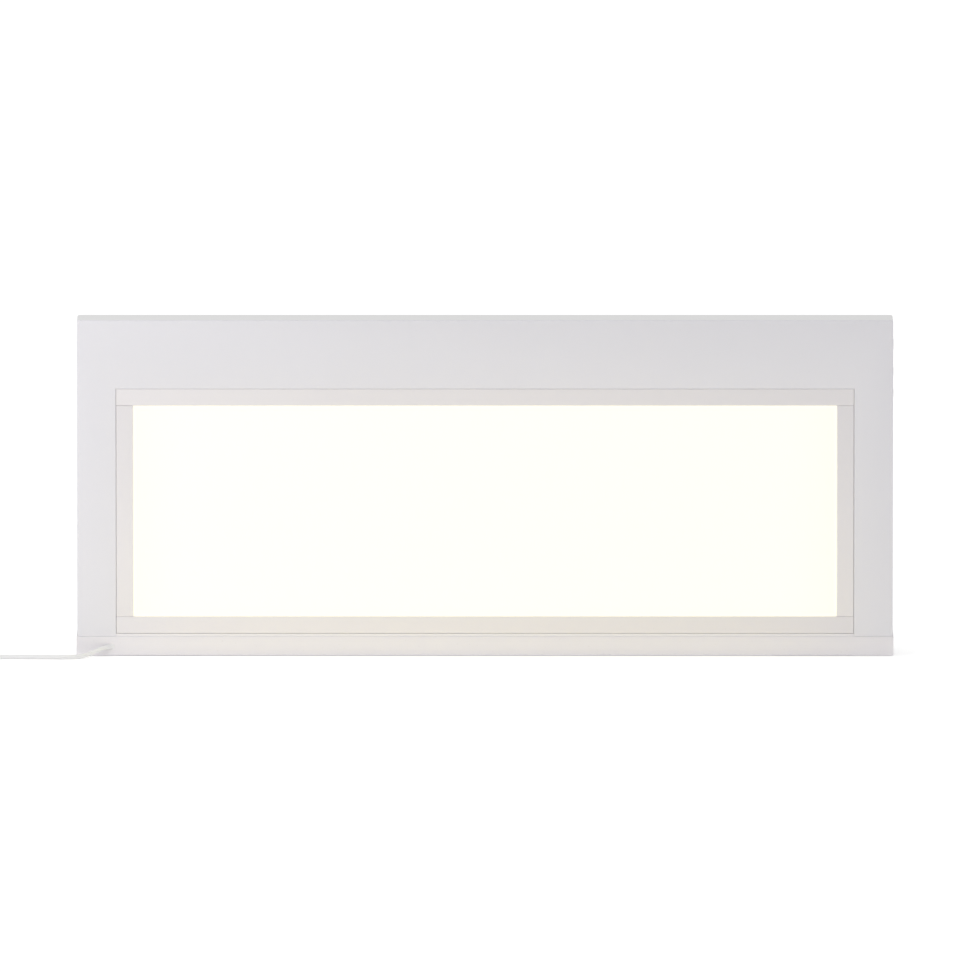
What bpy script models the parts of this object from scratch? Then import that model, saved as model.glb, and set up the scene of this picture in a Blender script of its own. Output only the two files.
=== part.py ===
"""Light table: a slim white light box that stands upright on a base rail.

An edge-lit panel shines through an opal window with a four-strip bezel. Three push buttons sit in the right
side, two legs fold out of wells in the back, and a thin low-voltage lead leaves through a slot in the rail.

Metres. +X is to the right seen from the front, -Y is to the front, +Z is up. The origin is on the standing
surface, under the middle of the rail.
"""

import math

import bmesh
import bpy
from mathutils import Vector

# Clearances
GAP = 0.0003            # between two pieces that rest on each other
SEAM = 0.0005           # visible groove round the bezel
RUNNING = 0.0003        # round a pin or a button that moves

# Base rail: a rectangular tube lying along X, the widest and deepest piece
RAIL_WIDTH = 0.600
RAIL_DEPTH = 0.040
RAIL_HEIGHT = 0.0135
RAIL_WALL = 0.0018
RAIL_EDGE = 0.0007      # rounding of its long edges
END_CAP = 0.0025
PAD_PROUD = 0.0006      # the rubber pads lift the rail by this much
PAD_SIZE = (0.060, 0.030, 0.0011)
PAD_INSET_X = 0.030

# Body: front plate and rear shell
BODY_STEP = 0.0006      # the body is narrower than the rail by this much at each side
BODY_TOP = 0.248
BODY_SETBACK = 0.0006   # the front plate stands this far behind the rail's face
BODY_EDGE = 0.0008
PLATE_THICKNESS = 0.0025
SHELL_WALL = 0.0015
FOOT_PROUD = 0.0015     # the feet on the back end level with the rail's back
FOOT_RADIUS = 0.006
FOOT_INSET = 0.018
RIB_THICKNESS = 0.0015
RIB_INSET = 0.1344      # from the body's left side to the first rib
RIB_SPACING = 0.110
RIB_HEAD_ROOM = 0.0207  # below the driver board

# Bezel: four strips round the window, each an angle with a face flange and a web behind its outer edge
SIDE_MARGIN = 0.02875   # from the body's side to the bezel
TOP_BAND = 0.0507       # from the body's top to the bezel
TONGUE_HEIGHT = 0.0022  # the rail's tongue below the bezel
BEZEL_FACE = 0.0124
BEZEL_THICKNESS = 0.0015
BEZEL_DEPTH = 0.0112
BEZEL_EDGE = 0.0003
JOINT_GAP = 0.0003      # butt joint between two strips

# Light panel, from front to back
DIFFUSER_THICKNESS = 0.002
GUIDE_THICKNESS = 0.004
REFLECTOR_THICKNESS = 0.0006
BACK_PLATE_THICKNESS = 0.0012
LED_BOARD_THICKNESS = 0.001
LED_SIZE = (0.0030, 0.0028, 0.0014)
LED_PITCH = 0.024
PANEL_PLUG = (0.012, 0.0034, 0.006)

# Driver board behind the top band
DRIVER_INSET = 0.1094   # from the body's left side to the board
DRIVER_SIZE = (0.110, 0.0016, 0.030)
DRIVER_TOP_MARGIN = 0.011   # below the shell's top wall
BOARD_POST_RADIUS = 0.0025
BOARD_POST_LENGTH = 0.0075
# Components on it: the left and bottom edge on the board, and the size
SUPPLY_CONNECTOR = ((0.002, 0.011), (0.008, 0.006, 0.008))
INDUCTOR = ((0.026, 0.009), (0.012, 0.007, 0.012))
PANEL_CONNECTOR = ((0.084, 0.001), (0.008, 0.006, 0.006))
CONTROL_CONNECTOR = ((0.100, 0.012), (0.008, 0.006, 0.006))
CAPACITOR_LEFT = 0.050
CAPACITOR_RADIUS = 0.004
CAPACITOR_LENGTH = 0.012

# Side buttons, top to bottom, and the board behind them
BUTTON_DROPS = (0.020, 0.040, 0.056)    # below the top of the body
BUTTON_NAMES = ("power", "brighter", "dimmer")
BUTTON_RADII = (0.0042, 0.0032, 0.0032)
BUTTON_Y = 0.003
BUTTON_PROUD = 0.0005
BUTTON_TRAVEL = 0.0008
BUTTON_FLANGE = 0.0010
BUTTON_STEM = 0.0034
STEM_RADIUS = 0.0013
SWITCH_SIZE = (0.0032, 0.0060, 0.0060)
CONTROL_BOARD_SIZE = (0.0014, 0.014, 0.050)

# Fold-out legs in wells in the back
LEG_INSET = 0.0844      # from the body's side to the middle of the leg
LEG_HINGE_DROP = 0.044  # below the top of the body
LEG_TIP_RISE = 0.0296   # above the bottom of the body
LEG_WIDTH = 0.012
LEG_THICKNESS = 0.0045
LEG_EYE_RADIUS = 0.0038
LEG_OFFSET = 0.0018     # the bar's front lies this far before the hinge axis, so that it hangs shut
PIN_RADIUS = 0.0015
TIP_LENGTH = 0.014
TIP_WALL = 0.0012
TENON_LENGTH = 0.008
TENON_SHRINK = 0.0012
WELL_DEPTH = 0.0085
WELL_SIDE_CLEARANCE = 0.003
WELL_TOP_CLEARANCE = 0.006
WELL_FINGER_ROOM = 0.014
WELL_WALL = 0.0015

# The shell's many cuts leave open edges with the exact solver, so they take the manifold one
SHELL_SOLVER = "MANIFOLD"

# Screws that hold the front plate and the shell together
SCREW_RADIUS = 0.0014
SCREW_HEAD_RADIUS = 0.0028
SCREW_HEAD_HEIGHT = 0.0010
SCREW_LENGTH = 0.012
BOSS_RADIUS = 0.0035
BOSS_INNER_X = 0.060
BOSS_INSET_Z = 0.0075   # below the top of the body
LOW_BOSS_RISE = 0.0136  # above the bottom of the body

# Lead
CORD_DIAMETER = 0.0033
INNER_LEAD_DIAMETER = 0.0024
SLOT_INSET = 0.0242     # from the rail's left end
SLOT_WIDTH = 0.0088
SLOT_HEIGHT = 0.0048
SLOT_Z = 0.0069
CLAMP_INSET = 0.044     # from the rail's left end
CLAMP_Y = -0.0080
CLAMP_SIZE = (0.012, 0.008, 0.0075)
PASSAGE_INSET = 0.062   # from the rail's left end
PASSAGE_Y = 0.004
PASSAGE_RADIUS = 0.004
COIL_TURN_RADIUS = 0.0173   # middle of the bundle
COIL_COLUMNS = 3
COIL_LAYERS = 4
COIL_X = -0.388
TIE_WIDTH = 0.005
TIE_THICKNESS = 0.0008
PLUG_SIZE = (0.0155, 0.020, 0.0080)
PLUG_SHELL_SIZE = (0.0120, 0.0117, 0.0045)
PLUG_SHELL_WALL = 0.0005
PLUG_TONGUE = (0.0090, 0.0080, 0.0014)
PLUG_X = -0.4236
PLUG_BACK_Y = -0.0120
RELIEF_LENGTH = 0.008
RELIEF_RADII = (0.0022, 0.0030)

# Planes and edges that several pieces share
RAIL_BOTTOM = PAD_PROUD
RAIL_TOP = RAIL_BOTTOM + RAIL_HEIGHT
RAIL_FACE = -RAIL_DEPTH / 2
RAIL_BACK = RAIL_DEPTH / 2
RAIL_INSIDE_LOW = RAIL_BOTTOM + RAIL_WALL
RAIL_INSIDE_HIGH = RAIL_TOP - RAIL_WALL
SLOT_X = -RAIL_WIDTH / 2 + SLOT_INSET
PASSAGE_X = -RAIL_WIDTH / 2 + PASSAGE_INSET
CLAMP_LEFT = -RAIL_WIDTH / 2 + CLAMP_INSET
BODY_WIDTH = RAIL_WIDTH - 2 * BODY_STEP
PLATE_FACE = RAIL_FACE + BODY_SETBACK
PLATE_BACK = PLATE_FACE + PLATE_THICKNESS
BODY_BOTTOM = RAIL_TOP + GAP
BODY_BACK = RAIL_BACK - FOOT_PROUD
SHELL_INSIDE_BACK = BODY_BACK - SHELL_WALL
SHELL_INSIDE_X = BODY_WIDTH / 2 - SHELL_WALL
RIB_COUNT = round((BODY_WIDTH - 2 * RIB_INSET) / RIB_SPACING) + 1
BEZEL_WIDTH = BODY_WIDTH - 2 * SIDE_MARGIN
BEZEL_BOTTOM = RAIL_TOP + TONGUE_HEIGHT + SEAM
BEZEL_TOP = BODY_TOP - TOP_BAND
WEB_INSIDE_X = BEZEL_WIDTH / 2 - BEZEL_THICKNESS
WEB_INSIDE_LOW = BEZEL_BOTTOM + BEZEL_THICKNESS
WEB_INSIDE_HIGH = BEZEL_TOP - BEZEL_THICKNESS
LED_COUNT = math.floor((BEZEL_WIDTH - 2 * BEZEL_FACE) / LED_PITCH - 1)
LED_BOARD_LOW_TOP = WEB_INSIDE_LOW + GAP + LED_BOARD_THICKNESS
LED_BOARD_HIGH_BOTTOM = WEB_INSIDE_HIGH - GAP - LED_BOARD_THICKNESS
DIFFUSER_FRONT = PLATE_FACE + BEZEL_THICKNESS + GAP
GUIDE_FRONT = DIFFUSER_FRONT + DIFFUSER_THICKNESS + GAP
REFLECTOR_FRONT = GUIDE_FRONT + GUIDE_THICKNESS + GAP
BACK_PLATE_FRONT = REFLECTOR_FRONT + REFLECTOR_THICKNESS + GAP
BACK_PLATE_BACK = BACK_PLATE_FRONT + BACK_PLATE_THICKNESS
DRIVER_TOP = BODY_TOP - SHELL_WALL - DRIVER_TOP_MARGIN
DRIVER_BOTTOM = DRIVER_TOP - DRIVER_SIZE[2]
DRIVER_BACK = SHELL_INSIDE_BACK - BOARD_POST_LENGTH - GAP
DRIVER_FACE = DRIVER_BACK - DRIVER_SIZE[1]
DRIVER_LEFT = -BODY_WIDTH / 2 + DRIVER_INSET
DRIVER_RIGHT = DRIVER_LEFT + DRIVER_SIZE[0]
BUTTON_HEIGHTS = [BODY_TOP - drop for drop in BUTTON_DROPS]
WELL_FLOOR = BODY_BACK - WELL_DEPTH
LEG_HINGE_Z = BODY_TOP - LEG_HINGE_DROP
LEG_HINGE_Y = WELL_FLOOR + 2 * GAP + LEG_EYE_RADIUS
LEG_FRONT = LEG_HINGE_Y - LEG_OFFSET
LEG_X = BODY_WIDTH / 2 - LEG_INSET
LEG_TIP_Z = BODY_BOTTOM + LEG_TIP_RISE
BOSS_OUTER_X = (BODY_WIDTH / 2 + BEZEL_WIDTH / 2) / 2
BOSS_Z = BODY_TOP - BOSS_INSET_Z
LOW_BOSS_Z = BODY_BOTTOM + LOW_BOSS_RISE
CORD_RADIUS = CORD_DIAMETER / 2
COIL_OUTER_TURN = COIL_TURN_RADIUS + CORD_DIAMETER * (COIL_COLUMNS - 1) / 2
COIL_OUTSIDE = COIL_OUTER_TURN + CORD_RADIUS
COIL_INSIDE = COIL_TURN_RADIUS - CORD_DIAMETER * COIL_COLUMNS / 2
COIL_HEIGHT = CORD_DIAMETER * COIL_LAYERS

# Route of the lead, chosen by hand: from its clamp inside the rail, out of the slot, down to the surface and
# along it to the coil, and from the coil to the plug
FLOOR_Z = CORD_RADIUS
RUN_Y = -0.0380
CORD_ROUTE = (
    (-0.2563, -0.0080, 0.0069),
    (-0.2610, -0.0088, 0.0069),
    (-0.2660, -0.0112, 0.0069),
    (-0.2710, -0.0154, 0.0069),
    (-0.2755, -0.0197, 0.0068),
    (-0.2790, -0.0226, 0.0065),
    (-0.2825, -0.0256, 0.0058),
    (-0.2860, -0.0287, 0.0047),
    (-0.2896, -0.0319, 0.0034),
    (-0.2934, -0.0349, 0.0024),
    (-0.2978, -0.0373, 0.0018),
    (-0.3032, -0.0387, FLOOR_Z),
    (-0.3120, -0.0391, FLOOR_Z),
    (-0.3230, -0.0386, FLOOR_Z),
    (-0.3340, -0.0381, FLOOR_Z),
    (-0.3460, -0.0379, FLOOR_Z),
    (-0.3580, -0.0380, FLOOR_Z),
    (-0.3690, RUN_Y, FLOOR_Z),
    (-0.3800, RUN_Y, FLOOR_Z),
)
TAIL_ROUTE = (
    (-0.3960, RUN_Y, 0.0112),
    (-0.4040, -0.0379, 0.0098),
    (-0.4110, -0.0368, 0.0081),
    (-0.4168, -0.0340, 0.0064),
    (-0.4208, -0.0300, 0.0051),
    (-0.4229, -0.0255, 0.0043),
    (PLUG_X, PLUG_BACK_Y - RELIEF_LENGTH - GAP, PLUG_SIZE[2] / 2),
)
COIL_CLEAR = math.sqrt((COIL_OUTSIDE + GAP) ** 2 - (COIL_OUTER_TURN - CORD_RADIUS) ** 2)

# Finishes: colour, roughness, metallic
FINISHES = {
    "white_coat": ((0.80, 0.79, 0.80), 0.45, 0.0),
    "white_plastic": ((0.82, 0.82, 0.81), 0.40, 0.0),
    "bezel_white": ((0.82, 0.81, 0.80), 0.40, 0.0),
    "opal": ((0.95, 0.94, 0.90), 0.30, 0.0),
    "clear_acrylic": ((0.90, 0.92, 0.92), 0.10, 0.0),
    "reflector": ((0.93, 0.93, 0.93), 0.60, 0.0),
    "aluminium": ((0.62, 0.63, 0.65), 0.35, 1.0),
    "circuit_board": ((0.06, 0.25, 0.12), 0.50, 0.0),
    "led_board": ((0.85, 0.85, 0.82), 0.50, 0.0),
    "component": ((0.04, 0.04, 0.05), 0.45, 0.0),
    "button_grey": ((0.60, 0.60, 0.61), 0.40, 0.0),
    "rubber": ((0.30, 0.30, 0.31), 0.80, 0.0),
    "steel": ((0.55, 0.55, 0.56), 0.30, 1.0),
    "cord_white": ((0.84, 0.83, 0.82), 0.50, 0.0),
}

for old in list(bpy.data.objects):
    bpy.data.objects.remove(old, do_unlink=True)

PARTS = bpy.data.collections.new("light_table")
CUTTERS = bpy.data.collections.new("cutters")
bpy.context.scene.collection.children.link(PARTS)
bpy.context.scene.collection.children.link(CUTTERS)


def new_material(name, finish):
    """A Principled material of its own for one piece."""
    color, roughness, metallic = FINISHES[finish]
    made = bpy.data.materials.new(name)
    made.use_nodes = True
    shader = made.node_tree.nodes["Principled BSDF"]
    shader.inputs["Base Color"].default_value = (*color, 1.0)
    shader.inputs["Roughness"].default_value = roughness
    shader.inputs["Metallic"].default_value = metallic
    return made


def add_piece(name, mesh, finish, place, parent=None):
    """A part with its finish, or a cutter where the finish is None."""
    piece = bpy.data.objects.new(name, mesh)
    piece.location = place
    if finish is None:
        CUTTERS.objects.link(piece)
        piece.hide_render = True
        piece.display_type = "WIRE"
    else:
        PARTS.objects.link(piece)
        mesh.materials.append(new_material(name, finish))
    if parent is not None:
        piece.parent = parent
        piece.location = Vector(place) - parent.location
    return piece


def to_mesh(name, bm):
    """The bmesh as a mesh, with its round faces shaded smooth."""
    mesh = bpy.data.meshes.new(name)
    bm.to_mesh(mesh)
    bm.free()
    mesh.shade_smooth()
    mesh.set_sharp_from_angle(angle=math.radians(35))
    return mesh


def box(name, low, high, finish=None, edge=0.0, pivot=None, parent=None):
    """A box between two corners, with its edges rounded by a Bevel modifier. Its origin is at the pivot."""
    low = Vector(low)
    high = Vector(high)
    place = (low + high) / 2 if pivot is None else Vector(pivot)
    bm = bmesh.new()
    bmesh.ops.create_cube(bm, size=1.0)
    bmesh.ops.scale(bm, vec=high - low, verts=bm.verts)
    bmesh.ops.translate(bm, vec=(low + high) / 2 - place, verts=bm.verts)
    piece = add_piece(name, to_mesh(name, bm), finish, place, parent)
    if edge:
        rounding = piece.modifiers.new("edges", "BEVEL")
        rounding.width = edge
        rounding.segments = 2
    return piece


def cylinder(name, centre, axis, radius, length, finish=None, sides=24):
    """A cylinder along a row axis."""
    return cylinders(name, [centre], axis, radius, length, finish, sides)


def cylinders(name, centres, axis, radius, length, finish=None, sides=18):
    """Equal cylinders along a row axis, as one object whose origin is at the first centre."""
    bm = bmesh.new()
    turn = Vector((0, 0, 1)).rotation_difference(Vector(axis)).to_matrix()
    for centre in centres:
        made = bmesh.ops.create_cone(
            bm, cap_ends=True, segments=sides, radius1=radius, radius2=radius, depth=length
        )["verts"]
        bmesh.ops.rotate(bm, cent=(0, 0, 0), matrix=turn, verts=made)
        bmesh.ops.translate(bm, vec=Vector(centre) - Vector(centres[0]), verts=made)
    return add_piece(name, to_mesh(name, bm), finish, centres[0])


def turned(name, profile, place, axis, finish, sides=24, closed=False):
    """A profile of (radius, height) points, top to bottom, turned about an axis with a Screw modifier."""
    bm = bmesh.new()
    corners = [bm.verts.new((radius, 0.0, height)) for radius, height in profile]
    for first, second in zip(corners, corners[1:]):
        bm.edges.new((first, second))
    if closed:
        bm.edges.new((corners[-1], corners[0]))
    mesh = bpy.data.meshes.new(name)
    bm.to_mesh(mesh)
    bm.free()
    piece = add_piece(name, mesh, finish, place)
    piece.rotation_mode = "QUATERNION"
    piece.rotation_quaternion = Vector((0, 0, 1)).rotation_difference(Vector(axis))
    screw = piece.modifiers.new("turn", "SCREW")
    screw.axis = "Z"
    screw.steps = sides
    screw.render_steps = sides
    screw.use_merge_vertices = True
    screw.merge_threshold = 0.00002
    return piece


def combine(piece, tool, operation, solver):
    """Cuts the tool from the piece, or joins it on."""
    change = piece.modifiers.new(tool.name, "BOOLEAN")
    change.operation = operation
    change.object = tool
    change.solver = solver


def cut(piece, tool, solver="EXACT"):
    combine(piece, tool, "DIFFERENCE", solver)


def join(piece, tool, solver="EXACT"):
    combine(piece, tool, "UNION", solver)


def smooth_route(points, spacing):
    """Points at an even spacing along the Catmull-Rom curve through the route's own points."""
    route = [Vector(p) for p in points]
    ends = [2 * route[0] - route[1], *route, 2 * route[-1] - route[-2]]
    fine = []
    steps = 12
    for k in range(1, len(ends) - 2):
        a, b, c, d = ends[k - 1 : k + 3]
        for step in range(steps):
            t = step / steps
            straight = 2 * b + (c - a) * t
            bend = (2 * a - 5 * b + 4 * c - d) * t**2 + (3 * b - a - 3 * c + d) * t**3
            fine.append((straight + bend) / 2)
    fine.append(route[-1])
    lengths = [0.0]
    for p, q in zip(fine, fine[1:]):
        lengths.append(lengths[-1] + (q - p).length)
    count = max(2, round(lengths[-1] / spacing) + 1)
    made = []
    k = 0
    for number in range(count):
        want = lengths[-1] * number / (count - 1)
        while k < len(fine) - 2 and lengths[k + 1] < want:
            k += 1
        share = (want - lengths[k]) / (lengths[k + 1] - lengths[k])
        made.append(fine[k].lerp(fine[k + 1], min(1.0, share)))
    return made


def tube(name, points, diameter, finish):
    """A round lead along the points, with closed ends."""
    curve = bpy.data.curves.new(name, "CURVE")
    curve.dimensions = "3D"
    curve.bevel_depth = diameter / 2
    curve.bevel_resolution = 2
    curve.use_fill_caps = True
    line = curve.splines.new("POLY")
    line.points.add(len(points) - 1)
    for corner, place in zip(line.points, points):
        corner.co = (*place, 1.0)
    piece = bpy.data.objects.new(name, curve)
    curve.materials.append(new_material(name, finish))
    PARTS.objects.link(piece)
    return piece


def inside_x(points, low, high):
    """The points whose x lies between two values."""
    return [p for p in points if low <= p.x <= high]


# Base rail

def make_base_rail():
    rail = box(
        "base_rail",
        (-RAIL_WIDTH / 2, RAIL_FACE, RAIL_BOTTOM),
        (RAIL_WIDTH / 2, RAIL_BACK, RAIL_TOP),
        "white_coat",
        edge=RAIL_EDGE,
    )
    beyond = RAIL_WALL
    cut(rail, box(
        "rail_hollow",
        (-RAIL_WIDTH / 2 - beyond, RAIL_FACE + RAIL_WALL, RAIL_INSIDE_LOW),
        (RAIL_WIDTH / 2 + beyond, RAIL_BACK - RAIL_WALL, RAIL_INSIDE_HIGH),
    ))
    tongue_half = BEZEL_WIDTH / 2 + SEAM - GAP
    join(rail, box(
        "rail_tongue",
        (-tongue_half, PLATE_FACE, RAIL_TOP - RAIL_WALL / 2),
        (tongue_half, PLATE_BACK, BEZEL_BOTTOM - SEAM),
    ))
    cut(rail, cable_slot())
    cut(rail, cylinder(
        "rail_passage", (PASSAGE_X, PASSAGE_Y, RAIL_TOP), (0, 0, 1), PASSAGE_RADIUS, 4 * RAIL_WALL
    ))
    for number, (low, high) in enumerate(pad_boxes(), start=1):
        room = Vector((GAP, GAP, GAP))
        below = Vector((0, 0, PAD_PROUD))
        cut(rail, box(f"pad_pocket_{number}", low - room - below, high + room))
        box(f"rail_pad_{number}", low, high, "rubber")


def cable_slot():
    """A slot with round ends, cut through the rail's front wall."""
    bm = bmesh.new()
    bmesh.ops.create_cube(bm, size=1.0)
    bmesh.ops.scale(bm, vec=(SLOT_WIDTH, 3 * RAIL_WALL, SLOT_HEIGHT), verts=bm.verts)
    bmesh.ops.bevel(
        bm,
        geom=[e for e in bm.edges if abs(e.verts[0].co.y - e.verts[1].co.y) > RAIL_WALL],
        offset=SLOT_HEIGHT / 2 * 0.98,
        segments=6,
        profile=0.5,
        affect="EDGES",
    )
    place = (SLOT_X, RAIL_FACE + RAIL_WALL / 2, SLOT_Z)
    return add_piece("slot_cutter", to_mesh("slot_cutter", bm), None, place)


def pad_boxes():
    """The corners of the two pads under the rail."""
    length, width, thickness = PAD_SIZE
    made = []
    for side in (-1, 1):
        middle_x = side * (RAIL_WIDTH / 2 - PAD_INSET_X - length / 2)
        made.append((
            Vector((middle_x - length / 2, -width / 2, 0.0)),
            Vector((middle_x + length / 2, width / 2, thickness)),
        ))
    return made


def make_end_caps():
    for side, word in ((-1, "left"), (1, "right")):
        outer = side * RAIL_WIDTH / 2
        inner = outer - side * END_CAP
        box(
            f"rail_end_cap_{word}",
            (min(outer, inner), RAIL_FACE + RAIL_WALL + GAP, RAIL_INSIDE_LOW + GAP),
            (max(outer, inner), RAIL_BACK - RAIL_WALL - GAP, RAIL_INSIDE_HIGH - GAP),
            "white_plastic",
        )


# Body

def boss_places():
    """Where the screws go, as (x, z)."""
    upper = (-BOSS_OUTER_X, -BOSS_INNER_X, BOSS_INNER_X, BOSS_OUTER_X)
    lower = (-BOSS_OUTER_X, BOSS_OUTER_X)
    return [(x, BOSS_Z) for x in upper] + [(x, LOW_BOSS_Z) for x in lower]


def make_front_plate():
    plate = box(
        "front_plate",
        (-BODY_WIDTH / 2, PLATE_FACE, BODY_BOTTOM),
        (BODY_WIDTH / 2, PLATE_BACK, BODY_TOP),
        "white_coat",
        edge=BODY_EDGE,
    )
    half = BEZEL_WIDTH / 2 + SEAM
    cut(plate, box(
        "plate_window",
        (-half, PLATE_FACE - PLATE_THICKNESS, BODY_BOTTOM - PLATE_THICKNESS),
        (half, PLATE_BACK + PLATE_THICKNESS, BEZEL_TOP + SEAM),
    ))
    embed = PLATE_THICKNESS / 2
    boss_end = SHELL_INSIDE_BACK - GAP
    boss_start = PLATE_BACK - embed
    middle = (boss_start + boss_end) / 2
    boss_centres = [(x, middle, z) for x, z in boss_places()]
    join(plate, cylinders("bosses", boss_centres, (0, 1, 0), BOSS_RADIUS, boss_end - boss_start))
    hole_centres = [(x, boss_end, z) for x, z in boss_places()]
    hole_length = 2 * (SCREW_LENGTH + GAP)
    cut(plate, cylinders("boss_holes", hole_centres, (0, 1, 0), SCREW_RADIUS + GAP, hole_length))


def make_rear_shell():
    front = PLATE_BACK + GAP
    shell = box(
        "rear_shell",
        (-BODY_WIDTH / 2, front, BODY_BOTTOM),
        (BODY_WIDTH / 2, BODY_BACK, BODY_TOP),
        "white_plastic",
        edge=BODY_EDGE,
    )
    cut(shell, box(
        "shell_hollow",
        (-SHELL_INSIDE_X, front - SHELL_WALL, BODY_BOTTOM + SHELL_WALL),
        (SHELL_INSIDE_X, SHELL_INSIDE_BACK, BODY_TOP - SHELL_WALL),
    ), SHELL_SOLVER)
    rib_front = BACK_PLATE_BACK + GAP
    embed = SHELL_WALL / 2
    for number in range(RIB_COUNT):
        x = -BODY_WIDTH / 2 + RIB_INSET + number * RIB_SPACING
        join(shell, box(
            f"rib_{number}",
            (x - RIB_THICKNESS / 2, rib_front, WEB_INSIDE_LOW),
            (x + RIB_THICKNESS / 2, SHELL_INSIDE_BACK + embed, DRIVER_BOTTOM - RIB_HEAD_ROOM),
        ), SHELL_SOLVER)
    post_length = BOARD_POST_LENGTH + embed
    post_middle = SHELL_INSIDE_BACK + embed - post_length / 2
    posts = [(x, post_middle, z) for x, z in board_posts()]
    join(shell, cylinders("board_posts", posts, (0, 1, 0), BOARD_POST_RADIUS, post_length), SHELL_SOLVER)
    for side in (-1, 1):
        add_leg_well(shell, side)
    screw_holes = [(x, BODY_BACK, z) for x, z in boss_places()]
    hole_radius = SCREW_RADIUS + GAP
    cut(shell, cylinders("screw_holes", screw_holes, (0, 1, 0), hole_radius, 4 * SHELL_WALL), SHELL_SOLVER)
    for name, radius, z in zip(BUTTON_NAMES, BUTTON_RADII, BUTTON_HEIGHTS):
        cut(shell, cylinder(
            f"{name}_hole", (BODY_WIDTH / 2, BUTTON_Y, z), (1, 0, 0), radius + RUNNING, 4 * SHELL_WALL
        ), SHELL_SOLVER)
    start = control_board_outer() + GAP
    end = SHELL_INSIDE_X + embed
    control_posts = [((start + end) / 2, BUTTON_Y, z) for z in control_post_heights()]
    join(shell, cylinders("control_posts", control_posts, (1, 0, 0), STEM_RADIUS, end - start), SHELL_SOLVER)
    cut(shell, cylinder(
        "shell_passage", (PASSAGE_X, PASSAGE_Y, BODY_BOTTOM), (0, 0, 1), PASSAGE_RADIUS, 4 * SHELL_WALL
    ), SHELL_SOLVER)


def board_posts():
    """Two posts behind the driver board, as (x, z)."""
    middle = (DRIVER_TOP + DRIVER_BOTTOM) / 2
    inset = 2 * BOARD_POST_RADIUS
    return [(DRIVER_LEFT + inset, middle), (DRIVER_RIGHT - inset, middle)]


def well_edges(side):
    """A leg well's half width, its bottom and its top."""
    half = LEG_WIDTH / 2 + WELL_SIDE_CLEARANCE
    low = LEG_TIP_Z - WELL_FINGER_ROOM
    high = LEG_HINGE_Z + WELL_TOP_CLEARANCE
    return side * LEG_X, half, low, high


def add_leg_well(shell, side):
    """A tray sunk in the back wall, with a hinge pin hole through both its sides."""
    x, half, low, high = well_edges(side)
    word = "left" if side < 0 else "right"
    join(shell, box(
        f"well_tray_{word}",
        (x - half - WELL_WALL, WELL_FLOOR - WELL_WALL, low - WELL_WALL),
        (x + half + WELL_WALL, BODY_BACK - SHELL_WALL / 2, high + WELL_WALL),
    ), SHELL_SOLVER)
    cut(shell, box(
        f"well_room_{word}",
        (x - half, WELL_FLOOR, low),
        (x + half, BODY_BACK + SHELL_WALL, high),
    ), SHELL_SOLVER)
    cut(shell, cylinder(
        f"well_pin_hole_{word}",
        (x, LEG_HINGE_Y, LEG_HINGE_Z),
        (1, 0, 0),
        PIN_RADIUS + RUNNING,
        2 * half + 4 * WELL_WALL,
        sides=16,
    ), SHELL_SOLVER)


def make_screws():
    """Pan-head screws that come in from the back."""
    seat = BODY_BACK + GAP
    for number, (x, z) in enumerate(boss_places(), start=1):
        rounded = SCREW_HEAD_HEIGHT * 0.4
        profile = (
            (0.0, SCREW_HEAD_HEIGHT),
            (SCREW_HEAD_RADIUS * 0.7, SCREW_HEAD_HEIGHT),
            (SCREW_HEAD_RADIUS, rounded),
            (SCREW_HEAD_RADIUS, 0.0),
            (SCREW_RADIUS, 0.0),
            (SCREW_RADIUS, -SCREW_LENGTH + SCREW_RADIUS),
            (0.0, -SCREW_LENGTH),
        )
        turned(f"shell_screw_{number}", profile, (x, seat, z), (0, 1, 0), "steel", sides=16)


def make_back_feet():
    """Four rubber feet on the back, for use lying flat."""
    base = BODY_BACK + GAP
    height = FOOT_PROUD - GAP
    reach_x = BODY_WIDTH / 2 - FOOT_INSET
    rows = (BODY_BOTTOM + FOOT_INSET + 2 * FOOT_RADIUS, BODY_TOP - FOOT_INSET - FOOT_RADIUS)
    profile = (
        (0.0, height),
        (FOOT_RADIUS - height, height),
        (FOOT_RADIUS, 0.0),
        (0.0, 0.0),
    )
    number = 0
    for z in rows:
        for side in (-1, 1):
            number += 1
            place = (side * (reach_x - FOOT_RADIUS), base, z)
            turned(f"back_foot_{number}", profile, place, (0, 1, 0), "rubber")


# Bezel and light panel

def angle_strip(name, face_low, face_high, web_low, web_high, finish):
    """One bezel strip: a face flange with a web behind its outer edge."""
    strip = box(name, face_low, face_high, finish, edge=BEZEL_EDGE)
    join(strip, box(f"{name}_web", web_low, web_high))
    return strip


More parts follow.
